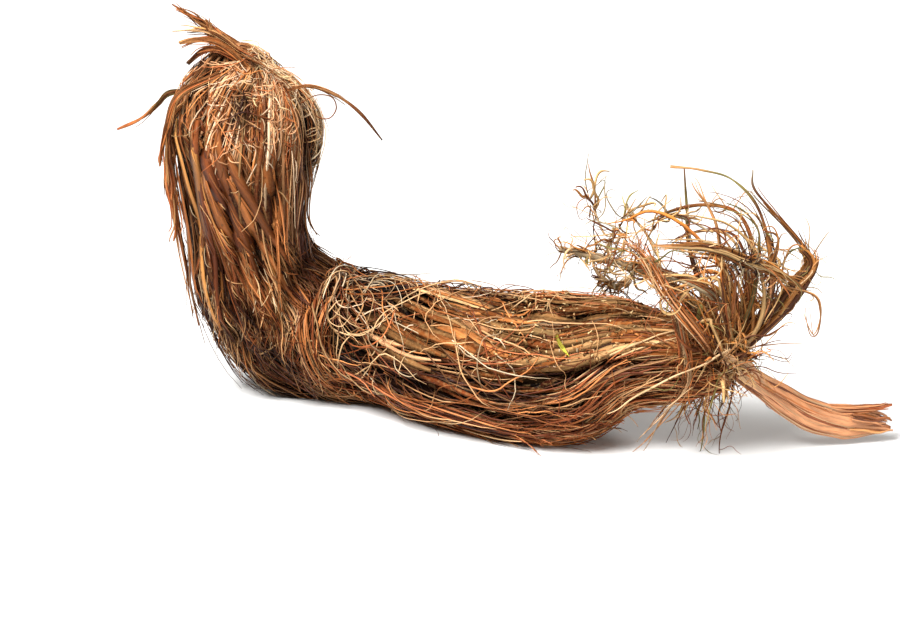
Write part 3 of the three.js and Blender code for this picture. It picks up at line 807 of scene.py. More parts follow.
LOWER_THREADS = [
    dict(count=2, share=(0.806, 0.808), turn=(-40, -38), heading=-1.2, stray=0.05, length=(3.4, 4.2),
         patchy=0.05, lift=(1.2, 1.3), half=(0.24, 0.34), palette=[(MOSS, 1)], tip=0.1),
    dict(count=70, clumps=20, share=(0.69, 0.78), turn=(-155, -100), stray=0.15, length=(6, 13), wobble=0.1,
         lift=(0.3, 1.0), tip_lift=(1.0, 4.0), half=(0.06, 0.13), palette=REDDISH + PALE_TIPS),
    dict(count=460, clumps=120, share=(0.56, 0.94), turn=ALL_ROUND, stray=0.2, length=(7, 24), curl=0.015,
         wobble=0.09, lift=(-0.2, 0.8), half=(0.06, 0.14), palette=DUSTY + WIRY),
    dict(count=700, clumps=96, share=(0.48, 0.84), turn=(115, 265), stray=0.1, length=(12, 34), wobble=0.05,
         lift=(-0.1, 1.2), tip_lift=(-0.2, 1.6), half=(0.07, 0.19), palette=REDDISH),
    dict(count=150, clumps=50, share=(0.88, 0.98), turn=ALL_ROUND, stray=0.3, length=(5, 12), wobble=0.12,
         lift=(0.0, 0.9), tip_lift=(0.0, 1.8), half=(0.06, 0.17), palette=REDDISH + DUSTY),
]
FLYAWAYS = [
    dict(count=170, steps=14, share=(0.02, 0.95), turn=ALL_ROUND, stray=1.0, length=(6, 18), curl=0.06,
         wobble=0.12, lift=(0.4, 1.2), rise=(0.2, 1.6), tip_lift=(0, 3.0), half=(0.04, 0.08), palette=WIRY,
         both_ways=True, tip=0.6),
]


def coat_strands():
    for number, (name, families, material) in enumerate([
        ("combed_strands", COMBED, MAT_BAND),
        ("upper_bands", UPPER_BANDS, MAT_BAND),
        ("upper_threads", UPPER_THREADS, MAT_THREAD),
        ("fibre_net", NET, MAT_THREAD),
        ("lower_bands", LOWER_BANDS, MAT_DUSTY),
        ("lower_threads", LOWER_THREADS, MAT_THREAD),
        ("flyaway_hairs", FLYAWAYS, MAT_THREAD),
    ]):
        rng = np.random.default_rng([SEED, number])
        strand_piece(name, [coat_batch(rng, **family) for family in families], material)


# Strips that fray from the top of the upright arm: a tuft on the peak, strips that hang down its outer
# side, one that flies off it, one that arches over the crook, a curl beside that, and sheaths that close
# over the top

TUFT = [
    (-35.5, 49.6, 10.5), (-41, 54.4, 12.5), (-45.6, 56.9, 14.5), (-49.3, 59.8, 15.5), (-52.3, 61.9, 15.3),
    (-55.2, 63.8, 15),
]
TUFT_BACK = [(-38, 52, 21), (-42.6, 55.4, 19.5), (-46, 58, 18.5), (-49.6, 60.3, 18), (-50.6, 62, 18)]
FLAPS = [
    [(-43.5, 54, 13), (-46.4, 56.8, 13.5), (-49, 58.4, 14), (-51.8, 58.6, 14.5), (-54.2, 58.1, 15)],
    [(-43, 53.6, 13.4), (-46, 56, 13.8), (-48.6, 57.2, 14.2), (-50.9, 56.8, 14.8), (-53, 55, 15.2)],
    [(-45, 56.6, 14), (-47.7, 58.6, 14.5), (-50.3, 59.8, 15), (-52.5, 60, 15), (-55.2, 59.8, 15)],
]
SPRIG = [(-48.6, 59, 15), (-49.6, 60.4, 15), (-50.1, 61.6, 15), (-50.7, 62.6, 15)]
HANGING = [
    [(-48, 53.4, 11.5), (-54, 50.4, 12), (-56.2, 45.4, 12.5), (-57, 41.6, 12.5), (-57.2, 39.6, 12.5)],
    [(-49, 52, 13.5), (-55, 47.4, 14), (-56, 42.4, 14.5), (-55.4, 37.2, 15), (-55.6, 34.6, 15)],
    [(-49, 50.6, 15.5), (-55.2, 44.6, 16), (-55.8, 39.4, 16.5), (-54.9, 31.6, 16.5), (-55.4, 28.4, 16.5)],
    [(-49.6, 49, 18.5), (-55.4, 42, 19), (-55.6, 35.4, 19.5), (-54.2, 27.4, 19.5), (-51.8, 15.6, 19)],
    [(-50, 48.6, 21.5), (-55.2, 43.6, 22), (-56.4, 38.4, 22), (-55.6, 33.6, 22), (-54.8, 30, 22)],
]
FLYING = [
    (-50, 50.4, 14.5), (-55.4, 50.8, 15.5), (-57.8, 48.8, 16.5), (-60.2, 46.8, 17.5), (-63.8, 45.3, 18.5),
]
ARCHING = [(-38, 51, 12), (-34.4, 51.6, 12), (-30.4, 50.2, 12), (-27, 47.6, 12), (-23.7, 43.5, 12)]
CURL_LOOP = [
    (-36, 49, 11), (-33.5, 50.2, 10.8), (-31.2, 49.9, 10.6), (-30.5, 48.2, 10.4), (-31.5, 46.7, 10.2),
    (-33.2, 46.8, 10), (-34.1, 48.2, 9.8), (-33.5, 49.6, 9.6),
]
OVER_TOP = [
    [(-50, 53.6, 14.5), (-48.4, 55.6, 16), (-46, 56.6, 17.5), (-43.6, 56.2, 18.5), (-41.6, 54.4, 19)],
    [(-46.6, 53, 13), (-46.6, 55.2, 15), (-46.4, 56.7, 17.5), (-46, 57.4, 20), (-45.8, 56.2, 22.4)],
    [(-42.6, 53.2, 14), (-44.6, 55.4, 15.8), (-46.6, 56.8, 17.8), (-48.8, 57.1, 19.6), (-50.6, 55.4, 21)],
]


def top_strips():
    rng = np.random.default_rng([SEED, 20])
    brown = [(BROWN, 3), (RED_BROWN, 2), (GOLD, 1.5), (UMBER, 1.5), (RUST, 1.5)]
    batches = [
        blade(rng, TUFT[1:], [0.06, 0.16, 0.5, 0.42, 0.12], 0.2, [BROWN, RUST, GOLD, BROWN, UMBER],
              twist=(0.4, 1.6)),
        sprays(rng, TUFT, 9, (0.5, 1.0), (0.04, 0.1), brown, steps=28, start=(0, 0.3), keep=(0.5, 0.95),
               wiggle=0.6),
        sprays(rng, TUFT[1:], 22, (0.8, 0.7), (0.05, 0.16), brown, flat=0.4, steps=28, start=(0.1, 0.5),
               keep=(0.6, 1), wiggle=0.5),
        sprays(rng, TUFT_BACK, 18, (0.7, 1.2), (0.06, 0.22), brown, flat=0.4),
        blade(rng, ARCHING, [0.2, 0.26, 0.32, 0.28, 0.12], 0.16, [RUST, GOLD, UMBER, DARK], twist=(0, 2.6)),
        sprays(rng, ARCHING, 5, (0.2, 0.9), (0.04, 0.1), brown, keep=(0.3, 0.7)),
        sprays(rng, CURL_LOOP, 2, (0.1, 0.3), (0.07, 0.12), [(UMBER, 1), (RED_BROWN, 1)], steps=40,
               keep=(0.95, 1), wiggle=0.1),
        blade(rng, FLYING, [0.25, 0.5, 0.4, 0.45, 0.15], 0.16, [UMBER, OLIVE, RUST, RED_BROWN],
              twist=(0, 2.4)),
        sprays(rng, FLYING, 5, (0.3, 1.8), (0.05, 0.12), brown, keep=(0.4, 0.9)),
        sprays(rng, SPRIG, 5, (0.2, 0.7), (0.05, 0.12), brown),
    ]
    looks = [(0.5, [BROWN, RUST, GOLD]), (0.55, [UMBER, RED_BROWN, DARK]), (0.16, [GOLD, STRAW])]
    for path, (wide, colours) in zip(FLAPS, looks):
        widths = [0.6 * wide, wide, wide, 0.9 * wide, 0.5 * wide]
        batches.append(blade(rng, path, widths, 0.18, colours, bow=1.2, twist=(-0.3, 1.1)))
        batches.append(sprays(rng, path, 7, (0.5, 0.9), (0.05, 0.2), brown, flat=0.4, keep=(0.5, 1)))
    for path in HANGING:
        widths = [0.5, 0.55, 0.42, 0.34, 0.14]
        batches.append(blade(rng, path, widths, 0.16, [BROWN, PINK, RED_BROWN, RUST], twist=(0.2, 1.6)))
        batches.append(sprays(rng, path, 14, (0.5, 1.5), (0.05, 0.2), brown, flat=0.5, steps=28,
                              keep=(0.4, 1), wiggle=0.6))
    for path in OVER_TOP:
        batches.append(sprays(rng, path, 26, (1.5, 1.5), (0.08, 0.3), SHEATH, flat=0.3, keep=(0.7, 1),
                              wiggle=0.4, blunt=0.3))
    strand_piece("top_strips", batches, MAT_BAND)


# The crown: the growing tip, a brush of sheaths and hairs on it, and the leaves, stem and rootlets that
# stand out

CORE = [
    (23.0, 10.8, -8.4, 5.1), (24.6, 10.7, -8.8, 4.9), (26.6, 10.5, -9.2, 4.3), (28.8, 10.3, -9.9, 3.2),
    (30.4, 10.2, -10.4, 1.2),
]
LEAF_STALK = [
    (26.4, 10.4, -9.6), (29.4, 9, -10.5), (34.5, 5.8, -10), (39.8, 2.6, -8.2), (45.8, 0.9, -6.4),
    (52.6, 0.2, -5),
]
STALK_END = [(46.4, 1.6, -6.2), (50, 1.1, -5.4), (53.2, 0.8, -4.9)]
MEMBRANE = [(25.6, 12, -14.2), (27.8, 10.6, -14), (30.2, 9.4, -13.2), (31.8, 7.6, -12.2)]
STALK_PRONG = [(40.5, 3.6, -8), (45.5, 3.1, -6.5), (49.5, 3.3, -5.7), (52.8, 3.8, -5.2)]
KNEE = [
    (27.8, 11.2, -9.4), (31.4, 14.4, -9), (35.6, 18.4, -8.5), (38.6, 22.2, -8), (40.2, 25, -7.5),
    (38.6, 28, -7), (34.8, 32.2, -6.5), (31.6, 36, -6), (31.4, 38.8, -5.5),
]
ARC = [
    (27.2, 11.4, -8), (31.4, 18, -5.5), (31.8, 26.4, -4.5), (29.4, 32.2, -4), (24.6, 33.6, -4),
    (19.6, 32.8, -4.5), (16, 31, -5),
]
CURL = [
    (28.2, 11, -11), (33.2, 17.6, -12), (34.2, 24.6, -12.5), (32.2, 32.6, -12), (28.2, 37.2, -11.5),
    (23.4, 38.7, -11), (19, 39.1, -11),
]
UPRIGHT = [(27, 12, -6.4), (24.6, 19.6, -1), (22.2, 27.6, 0), (21.8, 33.4, 0.5), (21.4, 39.3, 0.5)]
BAND = [
    (16.4, 27.5, -15), (21.2, 27.4, -15), (23.8, 27.3, -15.1), (27, 26.4, -15.1), (30, 25, -15),
    (33.6, 24.2, -14.8), (37, 22.4, -14.4), (38.8, 21.2, -14),
]
BAND_FOOT = [(28.4, 10.8, -12.2), (28.2, 18, -14.5), (27.8, 23.6, -15), (27.4, 26, -15)]
OLD_STEM = [(25, 13, -6.8), (22.4, 18.6, -6.4), (18.2, 22.6, -5), (10.4, 25.4, -3.4), (2.8, 27.1, -2)]
STEM_STUB = [
    (14, 24.2, -4.6), (17.6, 23.6, -10), (21.6, 22.2, -14.4), (24.4, 20.8, -14.8), (27, 18.6, -12.4),
]
BUNDLE = [
    (25.4, 11.6, -12.2), (23.4, 14.4, -15.6), (18.6, 20.2, -15.6), (15.2, 25.8, -13.4), (11.6, 28.8, -11.4),
]
BUNDLE_LOW = [
    (19.9, 17.6, -15.6), (21.2, 11.8, -15.4), (21.6, 7, -15), (17.4, 1.4, -16.5), (13.4, -3.4, -19),
]
PALE_ROOTLET = [
    (29.4, 13, -13), (27.8, 12, -14.2), (26, 11.1, -15.4), (24, 9.9, -16), (20, 8.2, -16.6),
    (17.2, 6.7, -16.6), (13.4, 4.8, -16.4), (11.2, 3.3, -16), (9.2, 2.4, -15.8),
]
YELLOW_ROOTLET = [
    (25.4, 11.6, -6.4), (20.6, 18.6, 0.4), (16.8, 25.8, 1.6), (13.6, 22.8, 2.2), (11.4, 21.4, 2.4),
    (8.8, 23.4, 3), (7.4, 26.4, 3.4),
]

# Thin strips and hair loops that stand out of the brush
GREEN_ARC = [
    (28.6, 12, -12), (31.4, 20, -12.6), (32.2, 27.2, -12.6), (31.9, 30, -12.4), (29.8, 32.1, -12),
    (26.8, 33.4, -11.6),
]
SHORT_BLADE = [
    (27.6, 12, -10.4), (27, 22, -11), (26.2, 29, -11.4), (25, 32.6, -11.4), (23.4, 35.4, -11.2),
    (22.5, 37.4, -11),
]
RIGHT_LOOP = [
    (36, 21.4, -13.6), (40.4, 20.2, -13.2), (41.5, 18, -13), (41.2, 15.2, -13), (40.4, 14.2, -13),
    (39.6, 16.2, -13.2), (39, 19.4, -13.4),
]
KNEE_LOOP = [
    (35.6, 20.8, -12.4), (35.8, 24.4, -11.6), (36.6, 26.6, -10.8), (38, 27.4, -10.2), (39.6, 26.8, -9.6),
]
INNER_LOOP = [(33, 22.4, -13.4), (34.6, 26, -13), (35, 28.4, -12.8), (34, 29.8, -12.8), (32.6, 29.6, -13)]
TWIGS = [
    [(8.4, 26.6, -3), (7.9, 30, -3), (8.2, 32.2, -3), (7.2, 34.2, -3), (7, 36, -3)],
    [(9.4, 26, -3.4), (11.6, 30, -4), (12.6, 32, -4.4), (14.4, 31, -4.6), (15.2, 30.2, -4.8)],
    [(14.8, 24.4, -5), (16, 28.8, -6), (17.8, 31.6, -6.4), (20, 32.2, -6.6), (22.4, 31, -6.8)],
    [(12.8, 28, -11.8), (11.2, 29.8, -11.4), (10.6, 28.4, -11), (11.4, 26.8, -11)],
]
SIDE_TWIGS = [
    [(27, 9.6, -14), (29.4, 10.4, -14.4), (31.4, 12.4, -14.4), (34.6, 13.2, -14.2), (39, 12.8, -14)],
    [(27, 9.8, -13.4), (30.4, 10.6, -13.8), (33, 11.4, -13.8), (36.6, 10.4, -13.6), (37.8, 12, -13.6)],
    [(28, 12.2, -13), (31, 14, -13.4), (33.6, 14.2, -13.4), (36.2, 15.8, -13.2), (38, 15.6, -13)],
    [(25, 8, -12.6), (24.6, 3.6, -14), (26, 1.4, -14.4), (27.4, -1, -14.6)],
]
LEAFY = [
    (LEAF_BROWN, 4), (BROWN, 2), (ORANGE, 1), (GOLD, 1.6), (UMBER, 1.8), (OLIVE, 0.8), (SAND, 1.6),
    (DARK, 0.7),
]
TWIGGY = [(UMBER, 3), (BROWN, 3), (OLIVE, 0.6), (GOLD, 1.8), (DARK, 0.7), (SAND, 0.8)]
STRIPS = [(LEAF_BROWN, 4), (BROWN, 2), (ORANGE, 0.8), (UMBER, 2.2), (SAND, 2.4), (GOLD, 0.4)]
HAIRY = [(GOLD, 1.2), (LEAF_BROWN, 2.6), (SAND, 3.6), (STRAW, 1.6), (UMBER, 2), (OLIVE, 0.6), (RUST, 0.6)]


def sprung(rng, roots, directions, length, bend, wobble, droop, steps):
    """Free strands that spring from their roots, bend one way, wave, and droop."""
    count = len(roots)
    runs, bends = spread(rng, length, count), rng.normal(0, bend, count)
    ahead = unit(directions)
    aside = unit(np.cross(ahead, rng.normal(0, 1, (count, 3))))
    part = np.linspace(0, 1, steps)[None]
    wave = waves(rng, part, (4, 11), count)
    angle = bends[:, None] * part + wobble * wave
    heading = ahead[:, None] * np.cos(angle)[..., None] + aside[:, None] * np.sin(angle)[..., None]
    heading = heading - np.array([0, 0, 1.0]) * (droop * part)[..., None]
    pace = (runs / (steps - 1))[:, None, None]
    way = np.cumsum(unit(heading)[:, :-1] * pace, 1)
    return roots[:, None] + np.concatenate([np.zeros((count, 1, 3)), way], 1)


def core_roots(rng, count, stand, span):
    """Places on the core, within a span of its CORE_ROWS rows, and the way out of it there."""
    rows = spline(CORE, CORE_ROWS)[rng.integers(*span, count)]
    turn = spread(rng, (0, FULL_TURN), count)
    out = np.stack([np.zeros(count), np.cos(turn), np.sin(turn)], 1)
    return seen(rows[:, :3]) + out * (rows[:, 3] * stand)[:, None], out


def free_batch(rng, points, half, flat, palette, **shades):
    """Strands along given points, each with its own slant and twist."""
    count, steps, _ = points.shape
    wide = tapers(rng, half, count, steps)
    facing = unit(rng.normal(0, 0.5, (count, 3)) + TOWARDS_VIEWER)
    twist = spread(rng, (-1, 1), (count, 1)) * np.linspace(0, 1.6, steps)[None]
    return flat_batch(points, facing, wide, flat, tints(rng, palette, count, steps, **shades), twist)


def hairs(rng, lines, count, length, bend, half, palette, part=(0.2, 1.0), follow=0.8, droop=0.0):
    """Curly hairs that spring from places along lines."""
    line = rng.integers(0, len(lines), count)
    place = (spread(rng, part, count) * (lines.shape[1] - 1)).astype(int)
    course = unit(np.gradient(lines, axis=1))[line, place]
    ahead = follow * course + rng.normal(0, 0.6, (count, 3))
    points = sprung(rng, lines[line, place], ahead, length, bend, 0.4, droop, 16)
    return free_batch(rng, points, half, 0.9, palette, root=0.8, tip=1.4)


def paths_as_lines(*paths):
    return np.stack([spline(seen(path), 60) for path in paths])


def nest(rng, count):
    """Thin strips in the crown that arch like its leaves, at smaller sizes and other slants."""
    patterns = paths_as_lines(ARC, CURL, KNEE[:7], BAND_FOOT + BAND[:3][::-1])[:, ::3]
    lines = patterns[rng.integers(0, len(patterns), count)]
    foot = lines[:, :1]
    spin = np.abs(rng.normal(0, 0.4, count))[:, None] - 0.1
    offset = (lines - foot) * spread(rng, (0.35, 0.9), (count, 1, 1))
    x = offset[..., 0] * np.cos(spin) - offset[..., 2] * np.sin(spin)
    z = offset[..., 0] * np.sin(spin) + offset[..., 2] * np.cos(spin)
    part = np.linspace(0, 1, lines.shape[1])[None]
    wave = waves(rng, part, (4, 11), count) * part
    y = offset[..., 1] + rng.normal(0, 2.5, (count, 1)) * part + 0.5 * wave
    points = foot + np.stack([x + 0.8 * wave, y, z - 0.8 * wave], -1) + rng.normal(0, 0.9, (count, 1, 3))
    return free_batch(rng, points, (0.1, 0.34), 0.35, STRIPS, root=0.9, tip=1.8, jitter=0.4)


def leaf_piece(kind, *batches):
    """A leaf base, in the place of the solid of its kind."""
    strand_piece("leaf_" + kind, batches, MAT_LEAF, ["leaf_base_" + kind])


def leaf_bases():
    rng = np.random.default_rng([SEED, 21])
    leaf_piece(
        "knee",
        blade(rng, KNEE, [0.5, 0.55, 0.55, 0.5, 0.42, 0.26, 0.2, 0.2, 0.1], 0.25,
              [LEAF_BROWN, RUST, ORANGE, RUST, LEAF_BROWN, UMBER, GREY_WOOD], twist=(0.2, 1.2), steps=80),
        sprays(rng, KNEE[:6], 14, (2.3, 0.8), (0.2, 0.55), STRIPS, flat=0.22, steps=40, start=(0, 0.25),
               keep=(0.7, 1), wiggle=0.4, jitter=0.4),
        sprays(rng, KNEE[:6], 16, (1.6, 1.1), (0.08, 0.24), LEAFY, flat=0.4, steps=40, start=(0, 0.3),
               keep=(0.5, 1), wiggle=0.6),
        sprays(rng, KNEE, 4, (0.7, 0.6), (0.1, 0.2), [(UMBER, 2), (LEAF_BROWN, 1), (GREY_WOOD, 1)],
               flat=0.4, steps=50, keep=(0.8, 1), wiggle=0.3),
    )
    leaf_piece(
        "arc",
        blade(rng, ARC, [0.5, 0.6, 0.5, 0.3, 0.26, 0.25, 0.1], 0.2,
              [LEAF_BROWN, ORANGE, RUST, LEAF_BROWN, UMBER, OLIVE], twist=(0.3, 2.6), steps=70),
        sprays(rng, ARC, 6, (0.5, 1.4), (0.06, 0.16), LEAFY, flat=0.4, steps=36, keep=(0.4, 0.95),
               wiggle=0.7),
    )
    leaf_piece(
        "curl",
        blade(rng, CURL, [0.5, 0.6, 0.7, 0.6, 0.2, 0.26, 0.13, 0.2, 0.15, 0.24], 0.14,
              [RUST, ORANGE, CORAL, LEAF_BROWN, UMBER, OLIVE, OLIVE, GOLD, DUST], twist=(0.3, 5.4),
              steps=90),
        sprays(rng, CURL, 5, (0.7, 0.6), (0.06, 0.18), LEAFY, flat=0.4, steps=40, keep=(0.35, 0.65),
               wiggle=0.4),
    )
    leaf_piece(
        "upright",
        blade(rng, UPRIGHT, [0.5, 0.6, 0.5, 0.3, 0.22, 0.1], 0.2, [BROWN, UMBER, DARK, OLIVE, UMBER],
              twist=(0.5, 2.2), steps=60),
        sprays(rng, UPRIGHT, 5, (0.5, 0.5), (0.06, 0.16), TWIGGY, flat=0.4, steps=30, keep=(0.5, 0.9),
               wiggle=0.4),
    )
    leaf_piece(
        "band",
        blade(rng, BAND, [0.12, 0.4, 0.6, 0.65, 0.65, 0.6, 0.4, 0.15], 0.26,
              [GOLD, LEAF_BROWN, RUST, LEAF_BROWN, LEAF_BROWN, UMBER], twist=(0, 0.8), steps=70),
        sprays(rng, BAND, 26, (0.9, 1.1), (0.08, 0.24), STRIPS, flat=0.4, steps=44, start=(0, 0.45),
               keep=(0.5, 1), wiggle=0.6, blunt=0.2),
        sprays(rng, BAND_FOOT, 18, (1.3, 1.0), (0.07, 0.2), LEAFY, flat=0.4, steps=30, start=(0.2, 0.5),
               wiggle=0.8, tip=0.8),
    )


def leaf_stalk():
    rng = np.random.default_rng([SEED, 22])
    # Colours of the stalk's ridges: red-brown and rust streaks of its own, and rose ones that are painted
    # highlights along the ridges
    streaks_and_highlights = [(RED_BROWN, 3), (CORAL, 2), (RUST, 2), (ROSE, 2)]
    frayed = [(CORAL, 3), (GOLD, 1.5), (RUST, 2), (RED_BROWN, 1.5)]
    steps = 90
    part = np.linspace(0, 1, steps)
    wide = np.interp(part, np.linspace(0, 1, 6), [0.9, 1.4, 1.9, 2.35, 2.3, 0.4])
    wide = wide * (1 + 0.03 * np.sin(31 * part))
    thick = np.interp(part, [0, 0.3, 0.8, 1], [0.7, 0.9, 0.9, 0.2])
    tint = colour_run((PINK, STRAW, CORAL, CORAL, CORAL, RUST), steps)
    stalk = rod(LEAF_STALK, wide, thick, tint, ridged_section(36, 7, 0.07))
    count = 64
    first = spread(rng, (0.0, 0.55), (count, 1))
    place = first + np.linspace(0, 1, 40)[None] * (spread(rng, (0.62, 0.99), (count, 1)) - first)
    centre, side, facing = along_path(LEAF_STALK, place)
    angle = spread(rng, (0, FULL_TURN), (count, 1))
    angle = angle + 0.1 * np.sin(9 * place + spread(rng, (0, 6), (count, 1)))
    across, over = np.cos(angle)[..., None], np.sin(angle)[..., None]
    points = centre + side * (across * np.interp(place, part, wide)[..., None])
    points = points + facing * (over * np.interp(place, part, thick)[..., None])
    outward = unit(side * across + 2.5 * facing * over)
    half = tapers(rng, (0.06, 0.24), count, 40, root=0.3)
    ridges = flat_batch(points, outward, half, 0.4, tints(rng, streaks_and_highlights, count, 40, root=1.0, tip=1.0))
    strand_piece("leaf_stalk_blade", [
        stalk,
        ridges,
        blade(rng, STALK_PRONG, [0.5, 0.8, 0.6, 0.2], 0.4, [CORAL, CORAL, RUST, RED_BROWN], steps=50),
        sprays(rng, STALK_PRONG, 12, (0.4, 0.6), (0.06, 0.2), streaks_and_highlights, flat=0.5, steps=24, wiggle=0.1),
        sprays(rng, STALK_END, 22, (1.9, 1.2), (0.1, 0.36), frayed, flat=0.3, steps=20, keep=(0.55, 1),
               wiggle=0.3),
        sprays(rng, MEMBRANE, 7, (0.5, 1.0), (0.15, 0.45), [(ROSE, 1)], flat=0.15, steps=24, start=(0, 0.3),
               blunt=0.2, wiggle=0.5, jitter=0.2, root=0.9, tip=1.5),
    ], MAT_STALK, ["leaf_stalk"])


def old_stem():
    rng = np.random.default_rng([SEED, 23])
    steps = 70
    part = np.linspace(0, 1, steps)
    knots = 1 + 0.22 * np.exp(-((part[:, None] - np.array([0.32, 0.55, 0.8, 0.99])) / 0.02) ** 2).sum(1)
    girth = (0.46 + 0.05 * np.sin(17 * part) + 0.04 * np.sin(41 * part)) * knots
    colours = linear(UMBER) + part[:, None] * (linear(GREY_WOOD) - linear(UMBER))
    bark = rod(OLD_STEM, girth, girth, colours, round_section(12))
    row = np.arange(40)
    girth = np.interp(row, [0, 25, 39], [0.4, 0.64, 0.34]) * (1 + 0.06 * np.sin(row))
    stub = rod(STEM_STUB, girth, girth, colour_run([GREY_WOOD], 40), ridged_section(20, 5, 0.12))
    grey = [(GREY_WOOD, 3), (DUST, 2), (UMBER, 3), (BROWN, 2)]
    peel = sprays(rng, OLD_STEM, 28, (0.48, 0.6), (0.06, 0.18), grey, flat=0.5, steps=40, keep=(0.3, 1),
                  wiggle=0.3)
    side = hairs(rng, paths_as_lines(OLD_STEM), 60, (2, 7), 1.6, (0.04, 0.1), TWIGGY, part=(0.3, 0.95),
                 follow=0.3)
    flakes = sprays(rng, STEM_STUB, 20, (0.6, 0.7), (0.06, 0.18), grey, flat=0.5, steps=24, keep=(0.5, 1),
                    wiggle=0.2)
    strand_piece("old_stem_wood", [bark, peel, side, stub, flakes], MAT_WOOD, ["old_stem"])


def fibre_bundle():
    rng = np.random.default_rng([SEED, 24])
    red = [(RED_BROWN, 4), (ROSE, 2), (RUST, 2), (CORAL, 0.8), (UMBER, 1.5)]
    pale = [(ROSE, 3), (PINK, 2), (BROWN, 1)]
    strand_piece("fibre_bundle_strands", [
        sprays(rng, BUNDLE, 17, (0.9, 1.6), (0.06, 0.16), red, flat=0.6, steps=44, keep=(0.75, 1),
               wiggle=0.4, jitter=0.4),
        sprays(rng, BUNDLE_LOW[:3], 12, (0.9, 1.1), (0.07, 0.17), red, flat=0.6, steps=30, keep=(0.6, 1),
               wiggle=0.3),
        sprays(rng, BUNDLE_LOW, 6, (0.3, 1.1), (0.07, 0.18), pale, flat=0.6, steps=40, keep=(0.7, 1),
               wiggle=0.5),
        hairs(rng, paths_as_lines(BUNDLE), 24, (2, 6), 1.8, (0.04, 0.08), red, part=(0.4, 1)),
    ], MAT_BAND, ["fibre_bundle"])


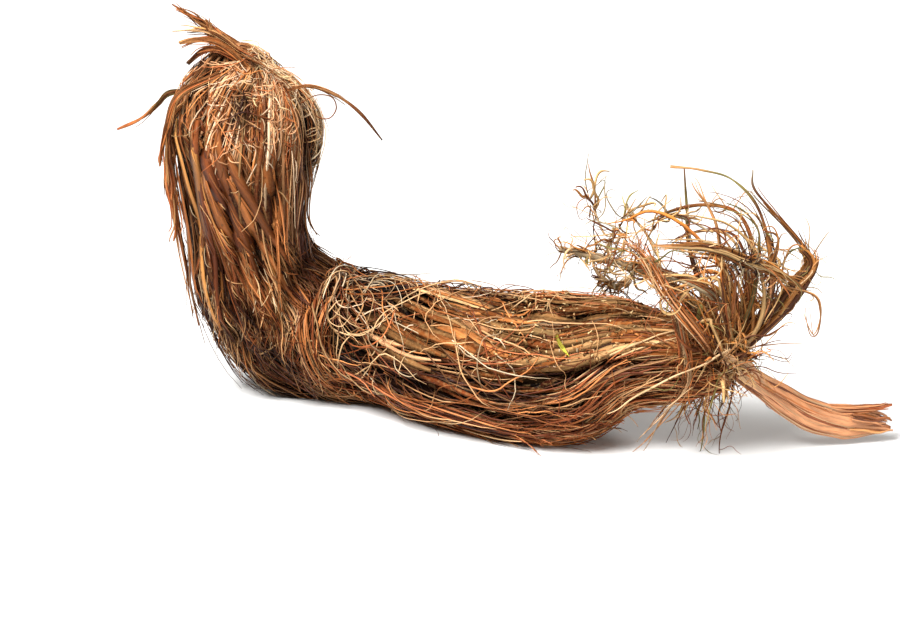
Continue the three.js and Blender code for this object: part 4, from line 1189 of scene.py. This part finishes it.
def crown():
    rng = np.random.default_rng([SEED, 25])
    core = spline(CORE, 14)
    girth = core[None, :, 3] * 0.8
    points, tint = seen(core[:, :3])[None], colour_run([DARK], 14)[None]
    body = batch(points, TOWARDS_VIEWER[None], girth, girth, tint, round_section(16))

    count = 80
    roots, out = core_roots(rng, count, 0.6, (0, 30))
    along, down = spread(rng, (-0.9, 0.5), count), spread(rng, (-1.2, 0.0), count)
    ahead = out + np.stack([along, np.zeros(count), down], 1)
    rootlets = sprung(rng, roots, ahead, (5, 15), 0.9, 0.45, 0.5, 20)
    lone = [
        sprays(rng, PALE_ROOTLET, 1, (0.02, 0.1), (0.17, 0.22), [(STRAW, 1)], steps=50, keep=(0.9, 1),
               wiggle=0.2, jitter=0.0, root=0.9, tip=1.0),
        sprays(rng, YELLOW_ROOTLET, 3, (0.2, 0.35), (0.24, 0.42), [(SAND, 2), (STRAW, 1)], steps=50,
               keep=(0.9, 1), jitter=0.15, root=0.8, tip=1.2),
    ]
    strand_piece("crown_rootlet_fibres", [
        body,
        free_batch(rng, rootlets, (0.07, 0.19), 0.9, TWIGGY, root=0.7, tip=1.1),
        hairs(rng, rootlets, 260, (2, 6), 1.4, (0.03, 0.07), TWIGGY, droop=0.3),
        *lone,
    ], MAT_ROOTLET, ["crown_rootlets"])

    count = 180
    roots, out = core_roots(rng, count, 0.7, (0, 26))
    rise = np.radians(np.clip(rng.normal(72, 30, count), 36, 150))
    ahead = np.stack([np.cos(rise), rng.normal(0, 0.3, count), np.sin(rise)], 1) + 0.3 * out
    sheaths = sprung(rng, roots, ahead, (3, 11), 2.2, 0.5, 0.0, 20)
    standing = paths_as_lines(ARC[:5], CURL[:4], UPRIGHT[:3], BAND, BAND, KNEE[:6], OLD_STEM, BUNDLE)
    tangled = paths_as_lines(OLD_STEM, BUNDLE, *TWIGS)
    thin = [
        (GREEN_ARC, OLIVE), (SHORT_BLADE, GOLD), (RIGHT_LOOP, GOLD), (KNEE_LOOP, OLIVE),
        (INNER_LOOP, UMBER),
    ]
    strips = [
        sprays(rng, path, 3, (0.1, 0.35), (0.07, 0.2), [(colour, 2), (LEAF_BROWN, 1)], flat=0.4, steps=40,
               keep=(0.9, 1), wiggle=0.3)
        for path, colour in thin
    ]
    twiglets = [(UMBER, 2), (DARK, 1), (GOLD, 1)]
    twigs = [
        sprays(rng, path, 2, (0.05, 0.3), (0.07, 0.14), twiglets, steps=30, keep=(0.8, 1), wiggle=0.3)
        for path in TWIGS + SIDE_TWIGS
    ]
    network = [(LEAF_BROWN, 2), (UMBER, 1.5), (SAND, 3), (OLIVE, 0.8), (GREY_WOOD, 1), (STRAW, 1)]
    strand_piece("crown_sheaths", [
        free_batch(rng, sheaths, (0.1, 0.46), 0.3, LEAFY, root=0.75, tip=1.6, jitter=0.4),
        nest(rng, 50),
        hairs(rng, tangled, 70, (4, 9), 2.4, (0.12, 0.28), network, part=(0.25, 0.95), follow=0.5),
        hairs(rng, paths_as_lines(OLD_STEM, YELLOW_ROOTLET), 80, (3, 7), 2.2, (0.1, 0.24), network,
              part=(0.42, 1), follow=0.3),
        hairs(rng, paths_as_lines(BAND), 70, (2, 5), 2.0, (0.05, 0.14),
              [(SOOT, 3), (DARK, 3), (GREY_WOOD, 2)], part=(0.52, 0.66), follow=0.1),
        *strips,
        *twigs,
    ], MAT_LEAF)
    strand_piece("crown_hairs", [
        hairs(rng, sheaths, 380, (3, 9), 2.4, (0.04, 0.11), HAIRY),
        hairs(rng, standing, 230, (3, 9), 3.2, (0.05, 0.13), HAIRY, part=(0.3, 0.9), follow=0.4),
        hairs(rng, tangled, 60, (3, 8), 3.2, (0.05, 0.13), HAIRY, part=(0.3, 1), follow=0.3),
    ], MAT_LEAF)


# Stage


def studio():
    bpy.ops.mesh.primitive_plane_add(size=8)
    floor = bpy.context.object
    floor.name = "floor"
    paper = bpy.data.materials.new("floor_paper")
    paper.use_nodes = True
    sheet = paper.node_tree.nodes["Principled BSDF"].inputs
    sheet["Base Color"].default_value = (0.66, 0.66, 0.65, 1)
    sheet["Roughness"].default_value = 0.9
    floor.data.materials.append(paper)
    world = bpy.data.worlds.new("studio")
    world.use_nodes = True
    sky = world.node_tree.nodes["Background"].inputs
    sky["Color"].default_value = (1, 0.9, 0.78, 1)
    sky["Strength"].default_value = 0.14
    bpy.context.scene.world = world
    centre = Vector(seen(VIEW_CENTRE) * MM)
    for name, place, size, power in (
        ("key", (-0.35, -0.4, 0.75), 0.4, 22.0),
        ("fill", (0.6, -0.5, 0.35), 0.6, 2.5),
        ("rim", (0.2, 0.6, 0.6), 0.4, 4.0),
    ):
        light = bpy.data.lights.new(name, "AREA")
        light.size = size
        light.energy = power
        lamp = bpy.data.objects.new(name, light)
        lamp.location = centre + Vector(place)
        lamp.rotation_euler = (-Vector(place)).to_track_quat("-Z", "Y").to_euler()
        bpy.context.scene.collection.objects.link(lamp)


def camera():
    """The photograph's view: the frame is 135 mm across where depth is 0 in the tables."""
    distance, frame_width = 1.2, 0.135
    lens = bpy.data.cameras.new("camera")
    lens.sensor_width = 36
    lens.lens = lens.sensor_width * distance / frame_width
    lens.clip_start = 0.05
    viewer = bpy.data.objects.new("camera", lens)
    target = Vector(seen(VIEW_CENTRE) * MM)
    viewer.location = target + Vector(TOWARDS_VIEWER) * distance
    viewer.rotation_euler = (target - viewer.location).to_track_quat("-Z", "Y").to_euler()
    bpy.context.scene.collection.objects.link(viewer)
    bpy.context.scene.camera = viewer


bpy.context.scene.view_settings.view_transform = "Standard"
camera()
studio()
rhizome_body()
coat_strands()
top_strips()
leaf_bases()
leaf_stalk()
old_stem()
fibre_bundle()
crown()
